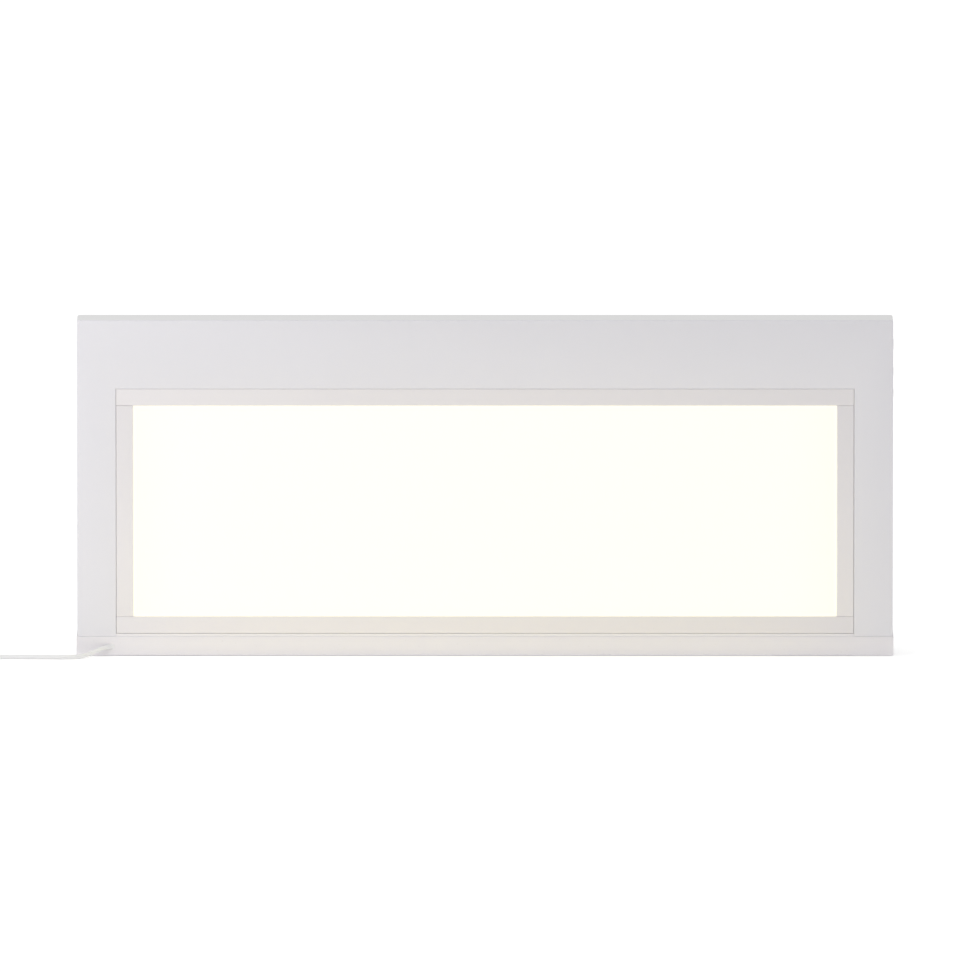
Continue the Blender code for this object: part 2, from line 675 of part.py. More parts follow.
def make_bezel():
    left = -BEZEL_WIDTH / 2
    right = BEZEL_WIDTH / 2
    front = PLATE_FACE
    flange_back = front + BEZEL_THICKNESS
    web_front = front + BEZEL_THICKNESS / 2
    web_back = front + BEZEL_DEPTH
    embed = BEZEL_EDGE
    for name, outer, inner, web_inner in (
        ("bezel_top", BEZEL_TOP, BEZEL_TOP - BEZEL_FACE, WEB_INSIDE_HIGH),
        ("bezel_bottom", BEZEL_BOTTOM, BEZEL_BOTTOM + BEZEL_FACE, WEB_INSIDE_LOW),
    ):
        web_outer = outer - embed if outer > inner else outer + embed
        angle_strip(
            name,
            (left, front, min(outer, inner)),
            (right, flange_back, max(outer, inner)),
            (left + embed, web_front, min(web_outer, web_inner)),
            (right - embed, web_back, max(web_outer, web_inner)),
            "bezel_white",
        )
    low = BEZEL_BOTTOM + BEZEL_FACE + JOINT_GAP
    high = BEZEL_TOP - BEZEL_FACE - JOINT_GAP
    for name, side in (("bezel_left", -1), ("bezel_right", 1)):
        outer = side * BEZEL_WIDTH / 2
        inner = outer - side * BEZEL_FACE
        web_outer = outer - side * embed
        web_inner = side * WEB_INSIDE_X
        angle_strip(
            name,
            (min(outer, inner), front, low),
            (max(outer, inner), flange_back, high),
            (min(web_outer, web_inner), web_front, low + embed),
            (max(web_outer, web_inner), web_back, high - embed),
            "bezel_white",
        )


def make_light_panel():
    half = WEB_INSIDE_X - GAP
    low = WEB_INSIDE_LOW + GAP
    high = WEB_INSIDE_HIGH - GAP
    led_reach = LED_SIZE[2] + GAP
    guide_low = LED_BOARD_LOW_TOP + led_reach
    guide_high = LED_BOARD_HIGH_BOTTOM - led_reach
    box(
        "diffuser_panel",
        (-half, DIFFUSER_FRONT, low),
        (half, DIFFUSER_FRONT + DIFFUSER_THICKNESS, high),
        "opal",
    )
    box(
        "light_guide",
        (-half, GUIDE_FRONT, guide_low),
        (half, GUIDE_FRONT + GUIDE_THICKNESS, guide_high),
        "clear_acrylic",
    )
    box(
        "reflector_sheet",
        (-half, REFLECTOR_FRONT, guide_low),
        (half, REFLECTOR_FRONT + REFLECTOR_THICKNESS, guide_high),
        "reflector",
    )
    box(
        "panel_back_plate",
        (-half, BACK_PLATE_FRONT, low),
        (half, BACK_PLATE_BACK, high),
        "aluminium",
    )
    make_led_board("led_board_bottom", low, LED_BOARD_LOW_TOP, 1)
    make_led_board("led_board_top", LED_BOARD_HIGH_BOTTOM, high, -1)


def make_led_board(name, low, high, facing):
    """A strip of board with a row of LEDs that face the light guide's edge."""
    half = LED_PITCH * LED_COUNT / 2
    board = box(
        name, (-half, GUIDE_FRONT, low), (half, GUIDE_FRONT + GUIDE_THICKNESS, high), "led_board"
    )
    middle_y = GUIDE_FRONT + GUIDE_THICKNESS / 2
    length, width, height = LED_SIZE
    face = high if facing > 0 else low
    embed = LED_BOARD_THICKNESS / 2
    bm = bmesh.new()
    for number in range(LED_COUNT):
        x = (number - (LED_COUNT - 1) / 2) * LED_PITCH
        made = bmesh.ops.create_cube(bm, size=1.0)["verts"]
        bmesh.ops.scale(bm, vec=(length, width, height + embed), verts=made)
        z = face + facing * (height - embed) / 2
        bmesh.ops.translate(bm, vec=(x, middle_y, z), verts=made)
    join(board, add_piece(f"{name}_leds", to_mesh(f"{name}_leds", bm), None, (0, 0, 0)))


# Electronics

def on_driver(name, component, finish):
    """A component on the driver board's front face."""
    (left, bottom), size = component
    low = (DRIVER_LEFT + left, DRIVER_FACE - GAP - size[1], DRIVER_BOTTOM + bottom)
    high = (low[0] + size[0], DRIVER_FACE - GAP, low[2] + size[2])
    box(name, low, high, finish)


def make_driver():
    box(
        "driver_board",
        (DRIVER_LEFT, DRIVER_FACE, DRIVER_BOTTOM),
        (DRIVER_RIGHT, DRIVER_BACK, DRIVER_TOP),
        "circuit_board",
    )
    on_driver("supply_connector", SUPPLY_CONNECTOR, "white_plastic")
    on_driver("driver_inductor", INDUCTOR, "component")
    on_driver("panel_connector", PANEL_CONNECTOR, "white_plastic")
    on_driver("control_connector", CONTROL_CONNECTOR, "white_plastic")
    middle_z = (DRIVER_TOP + DRIVER_BOTTOM) / 2
    cylinder(
        "driver_capacitor",
        (DRIVER_LEFT + CAPACITOR_LEFT, DRIVER_FACE - GAP - CAPACITOR_RADIUS, middle_z),
        (0, 0, 1),
        CAPACITOR_RADIUS,
        CAPACITOR_LENGTH,
        "component",
    )


def control_board_outer():
    """The control board's outer face, behind the switches and the button stems."""
    flange_outer = SHELL_INSIDE_X - RUNNING
    stem_end = flange_outer - BUTTON_FLANGE - BUTTON_STEM
    switch_face = stem_end - BUTTON_TRAVEL - GAP
    return switch_face - SWITCH_SIZE[0] - GAP


def control_post_heights():
    return [(first + second) / 2 for first, second in zip(BUTTON_HEIGHTS, BUTTON_HEIGHTS[1:])]


def make_controls():
    outer = control_board_outer()
    thickness, width, height = CONTROL_BOARD_SIZE
    middle_z = (BUTTON_HEIGHTS[0] + BUTTON_HEIGHTS[-1]) / 2
    box(
        "control_board",
        (outer - thickness, BUTTON_Y - width / 2, middle_z - height / 2),
        (outer, BUTTON_Y + width / 2, middle_z + height / 2),
        "circuit_board",
    )
    depth, side, _ = SWITCH_SIZE
    flange_outer = SHELL_INSIDE_X - RUNNING
    face = BODY_WIDTH / 2 + BUTTON_PROUD
    for name, radius, z in zip(BUTTON_NAMES, BUTTON_RADII, BUTTON_HEIGHTS):
        box(
            f"{name}_switch",
            (outer + GAP, BUTTON_Y - side / 2, z - side / 2),
            (outer + GAP + depth, BUTTON_Y + side / 2, z + side / 2),
            "component",
        )
        round_over = BUTTON_PROUD
        profile = (
            (0.0, face - flange_outer),
            (radius - round_over, face - flange_outer),
            (radius, face - flange_outer - round_over),
            (radius, 0.0),
            (radius + BUTTON_FLANGE, 0.0),
            (radius + BUTTON_FLANGE, -BUTTON_FLANGE),
            (STEM_RADIUS, -BUTTON_FLANGE),
            (STEM_RADIUS, -BUTTON_FLANGE - BUTTON_STEM),
            (0.0, -BUTTON_FLANGE - BUTTON_STEM),
        )
        turned(f"{name}_button", profile, (flange_outer, BUTTON_Y, z), (1, 0, 0), "button_grey")


def make_inner_leads():
    """Leads inside the housing: rail to driver, driver to panel, and driver to control board."""
    spacing = 4 * INNER_LEAD_DIAMETER
    lead_y = PASSAGE_Y
    clamp_right = CLAMP_LEFT + CLAMP_SIZE[0]
    driver_middle = (DRIVER_TOP + DRIVER_BOTTOM) / 2
    supply = (
        (clamp_right + 2 * GAP, CLAMP_Y, SLOT_Z),
        (clamp_right + INNER_LEAD_DIAMETER, CLAMP_Y, SLOT_Z),
        (PASSAGE_X + 0.002, CLAMP_Y + 0.0025, SLOT_Z),
        (PASSAGE_X + 0.003, CLAMP_Y + 0.0070, SLOT_Z + 0.0003),
        (PASSAGE_X + 0.001, lead_y - 0.001, 0.0100),
        (PASSAGE_X, lead_y, 0.0160),
        (PASSAGE_X, lead_y, 0.0400),
        (PASSAGE_X - 0.001, lead_y, 0.1100),
        (PASSAGE_X, lead_y, driver_middle - 0.030),
        (PASSAGE_X + 0.008, lead_y, driver_middle - 0.008),
        (PASSAGE_X + 0.028, lead_y, driver_middle),
        (DRIVER_LEFT + SUPPLY_CONNECTOR[0][0] - GAP, lead_y, driver_middle),
    )
    tube("supply_lead", smooth_route(supply, spacing), INNER_LEAD_DIAMETER, "cord_white")
    (panel_left, panel_bottom), panel_size = PANEL_CONNECTOR
    panel_x = DRIVER_LEFT + panel_left + panel_size[0] / 2
    plug_length, plug_depth, plug_height = PANEL_PLUG
    plug_top = WEB_INSIDE_HIGH - 2 * plug_height
    box(
        "panel_socket",
        (panel_x - plug_length / 2, BACK_PLATE_BACK + GAP, plug_top - plug_height),
        (panel_x + plug_length / 2, BACK_PLATE_BACK + GAP + plug_depth, plug_top),
        "white_plastic",
    )
    panel = (
        (panel_x, DRIVER_FACE - GAP - panel_size[1] / 2, DRIVER_BOTTOM + panel_bottom - GAP),
        (panel_x, DRIVER_FACE - 0.004, DRIVER_BOTTOM - 0.007),
        (panel_x, BACK_PLATE_BACK + GAP + plug_depth / 2, plug_top + 0.006),
        (panel_x, BACK_PLATE_BACK + GAP + plug_depth / 2, plug_top + GAP),
    )
    tube("panel_lead", smooth_route(panel, spacing), INNER_LEAD_DIAMETER, "cord_white")
    (control_left, control_bottom), control_size = CONTROL_CONNECTOR
    control_x = DRIVER_LEFT + control_left + control_size[0] + GAP
    control_y = DRIVER_FACE - control_size[1] / 2
    control_z = DRIVER_BOTTOM + control_bottom + control_size[2] / 2
    board_inner = control_board_outer() - CONTROL_BOARD_SIZE[0]
    control = (
        (control_x, control_y, control_z),
        (control_x + 0.020, control_y, control_z + 0.001),
        (0.060, lead_y, control_z + 0.002),
        (0.160, lead_y, control_z),
        (board_inner - 0.030, lead_y, control_z - 0.002),
        (board_inner - GAP, lead_y, control_z - 0.002),
    )
    tube("control_lead", smooth_route(control, 3 * spacing), INNER_LEAD_DIAMETER, "cord_white")


# Legs

def make_leg(side):
    """A flat bar on a hinge pin, with a rubber tip on its tenon. Both hang from an empty on its axis."""
    word = "left" if side < 0 else "right"
    x, half, _, _ = well_edges(side)
    hinge = bpy.data.objects.new(f"leg_{word}_hinge", None)
    hinge.location = (x, LEG_HINGE_Y, LEG_HINGE_Z)
    PARTS.objects.link(hinge)
    width = LEG_WIDTH / 2
    back = LEG_FRONT + LEG_THICKNESS
    shoulder = LEG_TIP_Z + TIP_LENGTH
    bar = box(
        f"leg_{word}",
        (x - width, LEG_FRONT, shoulder),
        (x + width, back, LEG_HINGE_Z),
        "white_plastic",
        edge=BEZEL_EDGE,
        parent=hinge,
    )
    join(bar, cylinder(
        f"leg_eye_{word}", hinge.location, (1, 0, 0), LEG_EYE_RADIUS, LEG_WIDTH - 2 * BEZEL_EDGE
    ))
    cut(bar, cylinder(
        f"leg_bore_{word}", hinge.location, (1, 0, 0), PIN_RADIUS + RUNNING, 2 * LEG_WIDTH, sides=16
    ))
    tenon = (
        Vector((x - width + TENON_SHRINK, LEG_FRONT + TENON_SHRINK, shoulder - TENON_LENGTH)),
        Vector((x + width - TENON_SHRINK, back - TENON_SHRINK, shoulder + TENON_SHRINK)),
    )
    join(bar, box(f"leg_tenon_{word}", *tenon))
    tip = box(
        f"leg_tip_{word}",
        (x - width, LEG_FRONT, LEG_TIP_Z),
        (x + width, back, shoulder - GAP),
        "rubber",
        edge=BEZEL_EDGE,
        parent=hinge,
    )
    room = Vector((GAP, GAP, GAP))
    cut(tip, box(f"leg_tip_pocket_{word}", tenon[0] - room, tenon[1] + room))
    cylinder(
        f"leg_pin_{word}",
        (x, LEG_HINGE_Y, LEG_HINGE_Z),
        (1, 0, 0),
        PIN_RADIUS,
        2 * (half + WELL_WALL),
        "steel",
        sides=16,
    )


# Lead, coil and plug

def make_cord():
    length, width, height = CLAMP_SIZE
    box(
        "cable_clamp",
        (CLAMP_LEFT, CLAMP_Y - width / 2, RAIL_INSIDE_LOW + GAP),
        (CLAMP_LEFT + length, CLAMP_Y + width / 2, RAIL_INSIDE_LOW + GAP + height),
        "white_plastic",
        edge=BEZEL_EDGE,
    )
    spacing = 2.2 * CORD_DIAMETER
    run = smooth_route(CORD_ROUTE, spacing)
    run = inside_x(run, COIL_X + COIL_CLEAR, 0.0)
    run.append(Vector((COIL_X + COIL_CLEAR, RUN_Y, FLOOR_Z)))
    tube("cord_run", run, CORD_DIAMETER, "cord_white")
    tail = inside_x(smooth_route(TAIL_ROUTE, spacing), -1.0, COIL_X - COIL_CLEAR)
    tube("cord_tail", tail, CORD_DIAMETER, "cord_white")


def make_coil():
    """The outer shape of the wound lead, with a waist where the tie grips it."""
    centre = Vector((COIL_X, RUN_Y + COIL_OUTER_TURN, 0.0))
    chamfer = CORD_RADIUS
    profile = (
        (COIL_OUTSIDE - chamfer, COIL_HEIGHT),
        (COIL_OUTSIDE, COIL_HEIGHT - chamfer),
        (COIL_OUTSIDE, chamfer / 2),
        (COIL_OUTSIDE - chamfer / 2, 0.0),
        (COIL_INSIDE + chamfer / 2, 0.0),
        (COIL_INSIDE, chamfer / 2),
        (COIL_INSIDE, COIL_HEIGHT - chamfer),
        (COIL_INSIDE + chamfer, COIL_HEIGHT),
    )
    coil = turned("cord_coil", profile, centre, (0, 0, 1), "cord_white", sides=40, closed=True)
    bundle_y = centre.y + COIL_TURN_RADIUS
    half_y = CORD_DIAMETER * COIL_COLUMNS / 2
    waist = TIE_THICKNESS + 2 * GAP
    waist_tool = box(
        "coil_waist",
        (centre.x - TIE_WIDTH / 2 - GAP, bundle_y - 2 * half_y, -COIL_HEIGHT),
        (centre.x + TIE_WIDTH / 2 + GAP, bundle_y + 2 * half_y, 2 * COIL_HEIGHT),
    )
    cut(waist_tool, box(
        "coil_core",
        (centre.x - TIE_WIDTH, bundle_y - half_y + waist, waist),
        (centre.x + TIE_WIDTH, bundle_y + half_y - waist, COIL_HEIGHT - waist),
    ))
    cut(coil, waist_tool)
    grip = TIE_THICKNESS + GAP
    tie = box(
        "coil_tie",
        (centre.x - TIE_WIDTH / 2, bundle_y - half_y + GAP, GAP),
        (centre.x + TIE_WIDTH / 2, bundle_y + half_y - GAP, COIL_HEIGHT - GAP),
        "rubber",
    )
    cut(tie, box(
        "tie_room",
        (centre.x - TIE_WIDTH, bundle_y - half_y + grip, grip),
        (centre.x + TIE_WIDTH, bundle_y + half_y - grip, COIL_HEIGHT - grip),
    ))


def make_plug():
    """A flat low-voltage plug that lies beside the coil."""
    width, length, height = PLUG_SIZE
    middle_z = height / 2
    box(
        "plug_body",
        (PLUG_X - width / 2, PLUG_BACK_Y, 0.0),
        (PLUG_X + width / 2, PLUG_BACK_Y + length, height),
        "cord_white",
        edge=0.0012,
    )
    thin, wide = RELIEF_RADII
    profile = (
        (0.0, RELIEF_LENGTH - GAP),
        (wide, RELIEF_LENGTH - GAP),
        (thin, 0.0),
        (0.0, 0.0),
    )
    place = (PLUG_X, PLUG_BACK_Y - RELIEF_LENGTH, middle_z)
    turned("plug_strain_relief", profile, place, (0, 1, 0), "cord_white")
    shell_width, shell_length, shell_height = PLUG_SHELL_SIZE
    shell_back = PLUG_BACK_Y + length + GAP
    wall = PLUG_SHELL_WALL
    shell = box(
        "plug_shell",
        (PLUG_X - shell_width / 2, shell_back, middle_z - shell_height / 2),
        (PLUG_X + shell_width / 2, shell_back + shell_length, middle_z + shell_height / 2),
        "steel",
    )
    cut(shell, box(
        "plug_shell_room",
        (PLUG_X - shell_width / 2 + wall, shell_back + wall, middle_z - shell_height / 2 + wall),
        (PLUG_X + shell_width / 2 - wall, shell_back + 2 * shell_length, middle_z + shell_height / 2 - wall),
    ))
    tongue_width, tongue_length, tongue_height = PLUG_TONGUE
    tongue_back = shell_back + wall + GAP
    tongue_low = middle_z + GAP
    box(
        "plug_tongue",
        (PLUG_X - tongue_width / 2, tongue_back, tongue_low),
        (PLUG_X + tongue_width / 2, tongue_back + tongue_length, tongue_low + tongue_height - GAP),
        "white_plastic",
    )


make_base_rail()
make_end_caps()
make_front_plate()
make_rear_shell()
make_screws()
make_back_feet()
make_bezel()
make_light_panel()
make_driver()
make_controls()
make_inner_leads()
make_leg(-1)
make_leg(1)
make_cord()
make_coil()
make_plug()
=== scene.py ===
# %% [markdown]
# # A light table on a base rail
# The object is a slim white box that stands upright on a flat aluminium rail. An edge-lit panel shines
# through an opal window with a bezel of four strips. Two legs fold out of the back, three keys sit in the
# right side, and a thin low-voltage lead leaves through a slot in the rail. The solids come from the
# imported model, which stays as it is. This lesson makes the surfaces that are seen, one piece at a time.

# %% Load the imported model
import math

import bmesh
import bpy
from bmesh.types import BMEdge, BMVert
from mathutils import Matrix, Vector


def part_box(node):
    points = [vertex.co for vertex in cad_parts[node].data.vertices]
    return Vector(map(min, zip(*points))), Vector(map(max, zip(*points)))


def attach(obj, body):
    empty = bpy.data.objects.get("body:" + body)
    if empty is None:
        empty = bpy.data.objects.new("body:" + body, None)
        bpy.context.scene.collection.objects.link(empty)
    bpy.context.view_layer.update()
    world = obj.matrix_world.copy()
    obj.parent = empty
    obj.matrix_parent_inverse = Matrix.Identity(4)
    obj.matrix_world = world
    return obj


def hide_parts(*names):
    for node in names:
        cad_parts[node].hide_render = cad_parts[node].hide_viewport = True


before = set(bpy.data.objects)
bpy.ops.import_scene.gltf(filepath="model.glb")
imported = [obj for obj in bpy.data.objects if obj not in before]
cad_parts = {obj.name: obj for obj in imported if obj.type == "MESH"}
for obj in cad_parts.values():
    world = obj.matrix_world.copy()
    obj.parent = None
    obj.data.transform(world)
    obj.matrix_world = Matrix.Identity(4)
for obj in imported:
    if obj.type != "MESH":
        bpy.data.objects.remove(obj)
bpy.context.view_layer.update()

NEAR = 1e-6                     # places closer than this are the same

# %% [markdown]
# ## The camera
# A product shot of a long flat box is taken from far away with a long lens, which keeps the top and
# bottom edges parallel. The camera stands in front of the middle and looks a few degrees down, so the top
# shows as a thin strip. The distance follows from the lens and from the width that the picture takes in.

# %% Camera
VIEW_WIDTH = 0.7134
LOOK_DOWN = math.radians(6.7)
LENS = 1000.0
SENSOR = 36.0
AIM = Vector((0.0, 0.0, 0.1238))


def make_camera():
    camera = bpy.data.objects.new("camera", bpy.data.cameras.new("camera"))
    camera.data.lens = LENS
    camera.data.sensor_width = SENSOR
    distance = VIEW_WIDTH * LENS / SENSOR
    back = Vector((0.0, -math.cos(LOOK_DOWN), math.sin(LOOK_DOWN)))
    camera.location = AIM + back * distance
    camera.rotation_euler = back.to_track_quat("Z", "Y").to_euler()
    camera.data.clip_end = 4 * distance
    bpy.context.scene.collection.objects.link(camera)
    bpy.context.scene.camera = camera
    print("camera distance", round(distance, 2), "m")


make_camera()

# %% [markdown]
# ## The lead's route
# The lead is a flexible tube of one thickness, so it is drawn as a line first. The line starts in the clamp
# inside the rail, leaves through the slot, comes down to the surface and runs along it. The points of that
# stretch are listed one by one. Past the left side the rest of the 1.5 m is wound for storage, three turns
# wide and four layers high. A loop works those turns out: the lead shifts over by its own thickness near
# the end of each turn, and climbs to the next layer when the layer is full. A tie holds the bundle at the
# back, where it presses the layers together.

# %% Lead route
CORD_DIAMETER = 0.0033
CORD_RADIUS = CORD_DIAMETER / 2
CORD_EXIT = (-0.2758, -0.0200, 0.0069)
CORD_ROUTE = (
    (-0.2563, -0.0080, 0.0069), (-0.2610, -0.0088, 0.0069), (-0.2660, -0.0112, 0.0069),
    (-0.2710, -0.0154, 0.0069), (-0.2755, -0.0197, 0.0068), (-0.2790, -0.0226, 0.0065),
    (-0.2825, -0.0256, 0.0058), (-0.2860, -0.0287, 0.0047), (-0.2896, -0.0319, 0.0034),
    (-0.2934, -0.0349, 0.0024), (-0.2978, -0.0373, 0.0018), (-0.3032, -0.0387, 0.00165),
    (-0.3120, -0.0391, 0.00165), (-0.3230, -0.0386, 0.00165), (-0.3340, -0.0381, 0.00165),
    (-0.3460, -0.0379, 0.00165), (-0.3580, -0.0380, 0.00165), (-0.3690, -0.0380, 0.00165),
    (-0.3800, -0.0380, 0.00165),
)
TAIL_ROUTE = (
    (-0.3960, -0.0380, 0.0112), (-0.4040, -0.0379, 0.0098), (-0.4110, -0.0368, 0.0081),
    (-0.4168, -0.0340, 0.0064), (-0.4208, -0.0300, 0.0051), (-0.4229, -0.0255, 0.0043),
    (-0.4236, -0.0203, 0.0040),
)
COLUMNS = 3
LAYERS = 4
TURNS = COLUMNS * LAYERS
POINTS_A_TURN = 18
POINT_SPACING = 0.6 * CORD_DIAMETER
SHIFT = 0.13                    # share of a turn in which the lead moves over
SHIFT_END = 0.97
TIE_LIFT = 0.0071               # middle of the bundle under the tie
TIE_PITCH = 0.0028              # between layers under the tie
TIE_REACH = math.radians(17)

coil_low, coil_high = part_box("cord_coil")
coil_middle = (coil_low + coil_high) / 2
OUTER_TURN = (coil_high.x - coil_low.x) / 2 - CORD_RADIUS


def winding(turn):
    """The column and layer that a turn lies in: across the bundle and back again, layer by layer."""
    layer, step = divmod(turn, COLUMNS)
    column = step if layer % 2 else COLUMNS - 1 - step
    return column, layer


def smooth_step(part):
    part = min(1.0, max(0.0, part))
    return part * part * (3 - 2 * part)


def coil_point(travel):
    """The lead's line after so many turns round the coil."""
    turn = min(int(travel), TURNS - 1)
    here = winding(turn)
    there = winding(min(turn + 1, TURNS - 1))
    moved = smooth_step((travel - turn - (SHIFT_END - SHIFT)) / SHIFT)
    column = here[0] + (there[0] - here[0]) * moved
    layer = here[1] + (there[1] - here[1]) * moved
    angle = -math.pi / 2 - 2 * math.pi * travel
    away = math.acos(max(-1.0, min(1.0, math.sin(angle))))
    grip = math.exp(-((away / TIE_REACH) ** 2))
    radius = OUTER_TURN - (COLUMNS - 1 - column) * CORD_DIAMETER
    height = CORD_RADIUS + layer * CORD_DIAMETER
    pressed = TIE_LIFT + (layer - (LAYERS - 1) / 2) * TIE_PITCH
    height += (pressed - height) * grip
    return Vector((
        coil_middle.x + radius * math.cos(angle),
        coil_middle.y + radius * math.sin(angle),
        height,
    ))


def smooth_route(points, spacing):
    """Points at an even spacing on the Catmull-Rom curve through the route's own points."""
    route = [Vector(p) for p in points]
    ends = [2 * route[0] - route[1], *route, 2 * route[-1] - route[-2]]
    fine = []
    for a, b, c, d in zip(ends, ends[1:], ends[2:], ends[3:]):
        for t in (0.0, 0.125, 0.25, 0.375, 0.5, 0.625, 0.75, 0.875):
            straight = 2 * b + (c - a) * t
            bend = (2 * a - 5 * b + 4 * c - d) * t**2 + (3 * b - a - 3 * c + d) * t**3
            fine.append((straight + bend) / 2)
    fine.append(route[-1])
    made = [fine[0]]
    travelled = 0.0
    for p, q in zip(fine, fine[1:]):
        travelled += (q - p).length
        if travelled >= spacing:
            made.append(q)
            travelled = 0.0
    made[-1] = fine[-1]
    return made


# %% [markdown]
# ## The lead as a tube
# A curve with a round bevel turns the line into a tube, and its length and bends are those of the line.
# The curve is then made into a mesh and its doubled points are joined, so that the tube is one closed skin.
# The line is returned with the tube.

# %% Lead tube
def make_cord():
    coil = [coil_point(step / POINTS_A_TURN) for step in range(TURNS * POINTS_A_TURN + 1)]
    line = smooth_route([*CORD_ROUTE, *coil, *TAIL_ROUTE], POINT_SPACING)
    for place in line:
        place.z = max(place.z, CORD_RADIUS)
    curve = bpy.data.curves.new("cord", "CURVE")
    curve.dimensions = "3D"
    curve.bevel_depth = CORD_RADIUS
    curve.bevel_resolution = 4
    curve.use_fill_caps = True
    spline = curve.splines.new("POLY")
    spline.points.add(len(line) - 1)
    for corner, place in zip(spline.points, line):
        corner.co = (*place, 1.0)
    bevelled = bpy.data.objects.new("cord_line", curve)
    bpy.context.scene.collection.objects.link(bevelled)
    drawn = bevelled.evaluated_get(bpy.context.evaluated_depsgraph_get())
    mesh = bpy.data.meshes.new_from_object(drawn)
    bpy.data.objects.remove(bevelled)
    tube = bmesh.new()
    tube.from_mesh(mesh)
    bmesh.ops.remove_doubles(tube, verts=tube.verts, dist=NEAR)
    tube.to_mesh(mesh)
    tube.free()
    mesh.shade_smooth()
    mesh.set_sharp_from_angle(angle=math.radians(50))
    cord = bpy.data.objects.new("cord", mesh)
    bpy.context.scene.collection.objects.link(cord)
    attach(cord, "housing")
    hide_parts("cord_run", "cord_coil", "cord_tail")
    length = sum((q - p).length for p, q in zip(line, line[1:]))
    print("cord", len(line), "points,", round(length, 3), "m")
    return cord, line


cord, cord_line = make_cord()

# %% [markdown]
# ## Shader maths
# A finish is mostly sums: this much grain plus that much cloud. Node trees hold sums as chains of Math
# nodes, which are hard to read. The class below wraps a socket, so a sum is written as a sum and the
# nodes follow.

# %% Signals and finishes
def plug_in(tree, socket, value):
    """Links a signal to a socket, or sets the socket's own value."""
    if isinstance(value, Signal):
        tree.links.new(value.socket, socket)
    else:
        socket.default_value = value


class Signal:
    """An output socket. Arithmetic on it adds Math nodes."""

    def __init__(self, tree, socket):
        self.tree = tree
        self.socket = socket

    def math(self, operation, *others):
        node = self.tree.nodes.new("ShaderNodeMath")
        node.operation = operation
        for socket, value in zip(node.inputs, (self, *others)):
            plug_in(self.tree, socket, value)
        return Signal(self.tree, node.outputs[0])

    def __add__(self, other):
        return self.math("ADD", other)

    def __mul__(self, other):
        return self.math("MULTIPLY", other)

    def __sub__(self, other):
        return self.math("SUBTRACT", other)

    def __rsub__(self, other):
        return self * -1.0 + other


class Finish:
    """A Principled material, with one method for every kind of node."""

    def __init__(self, name, **constants):
        self.material = bpy.data.materials.new(name)
        self.material.use_nodes = True
        self.tree = self.material.node_tree
        self.shader = self.tree.nodes["Principled BSDF"]
        for word, value in constants.items():
            self.shader.inputs[word.replace("_", " ")].default_value = value
        self.place = self.node("ShaderNodeTexCoord", {}, {}, "Object")

    def node(self, kind, settings, inputs, output=0):
        made = self.tree.nodes.new(kind)
        for setting, value in settings.items():
            setattr(made, setting, value)
        for socket, value in inputs.items():
            plug_in(self.tree, made.inputs[socket], value)
        return Signal(self.tree, made.outputs[output])

    def noise(self, size, detail=2.0, stretch=(1.0, 1.0, 1.0), offset=0.0):
        """Noise with lumps of about this size in metres, longer where the stretch is under 1."""
        place = self.node(
            "ShaderNodeMapping", {}, {"Vector": self.place, "Scale": stretch, "Location": (offset,) * 3}
        )
        inputs = {"Vector": place, "Scale": 1 / size, "Detail": detail, "Roughness": 0.55}
        return self.node("ShaderNodeTexNoise", {}, inputs)

    def above(self, signal, low, high):
        """0 below the low value, 1 above the high one, smooth between."""
        inputs = {"Value": signal, "From Min": low, "From Max": high}
        return self.node("ShaderNodeMapRange", {"interpolation_type": "SMOOTHSTEP"}, inputs)

    def blend(self, factor, first, second):
        """A mix of two colours. Sockets 6 and 7 are the node's colours, and so is its output 2."""
        def paint(color):
            return color if isinstance(color, Signal) else (*color, 1.0)
        inputs = {0: factor, 6: paint(first), 7: paint(second)}
        return self.node("ShaderNodeMix", {"data_type": "RGBA"}, inputs, 2)

    def feed(self, socket, signal):
        self.tree.links.new(signal.socket, self.shader.inputs[socket])

    def bump(self, height, depth):
        """Raises the surface by the height signal times a depth in metres."""
        inputs = {"Height": height, "Distance": depth, "Strength": 1.0}
        self.feed("Normal", self.node("ShaderNodeBump", {}, inputs))


def shade(color, share):
    """The same colour, brighter or darker."""
    return tuple(channel * share for channel in color)


# %% [markdown]
# ## Paint and plastic
# The rail, the plate and most plastics are white, and they are told apart by their surface. Powder coat
# has a slow orange peel with a fine grain on it. Coated extrusions also carry faint lines along their
# length. Moulded plastic has the grain of the spark-eroded mould. Dust and handling leave slight clouds
# and a few specks. One function makes all of them from a few numbers, so each finish is one line in the
# table below.

# %% White finishes
def coated(name, color, roughness, grain, grain_depth, peel, peel_depth, lines=0.0, gloss=0.5):
    """A white surface with a fine grain, a slow peel, clouds, specks and, on extrusions, lines along X."""
    finish = Finish(name, Specular_IOR_Level=gloss)
    fine = finish.noise(grain, 3.0)
    slow = finish.noise(peel, 2.0, offset=3.0)
    cloud = finish.noise(0.07, 3.0, offset=7.0)
    speck = finish.above(finish.noise(0.0016, 0.0, offset=11.0), 0.80, 0.86)
    height = fine * (grain_depth / peel_depth) + slow
    if lines:
        drawn = finish.noise(0.0007, 2.0, (0.012, 1.0, 1.0), 5.0)
        height = height + drawn * lines
    clean = finish.blend(cloud, shade(color, 1.012), shade(color, 0.985))
    finish.feed("Base Color", finish.blend(speck * 0.10, clean, (0.50, 0.48, 0.45)))
    finish.feed("Roughness", (cloud - 0.5) * 0.10 + (fine - 0.5) * 0.08 + roughness)
    finish.bump(height, peel_depth)
    return finish.material


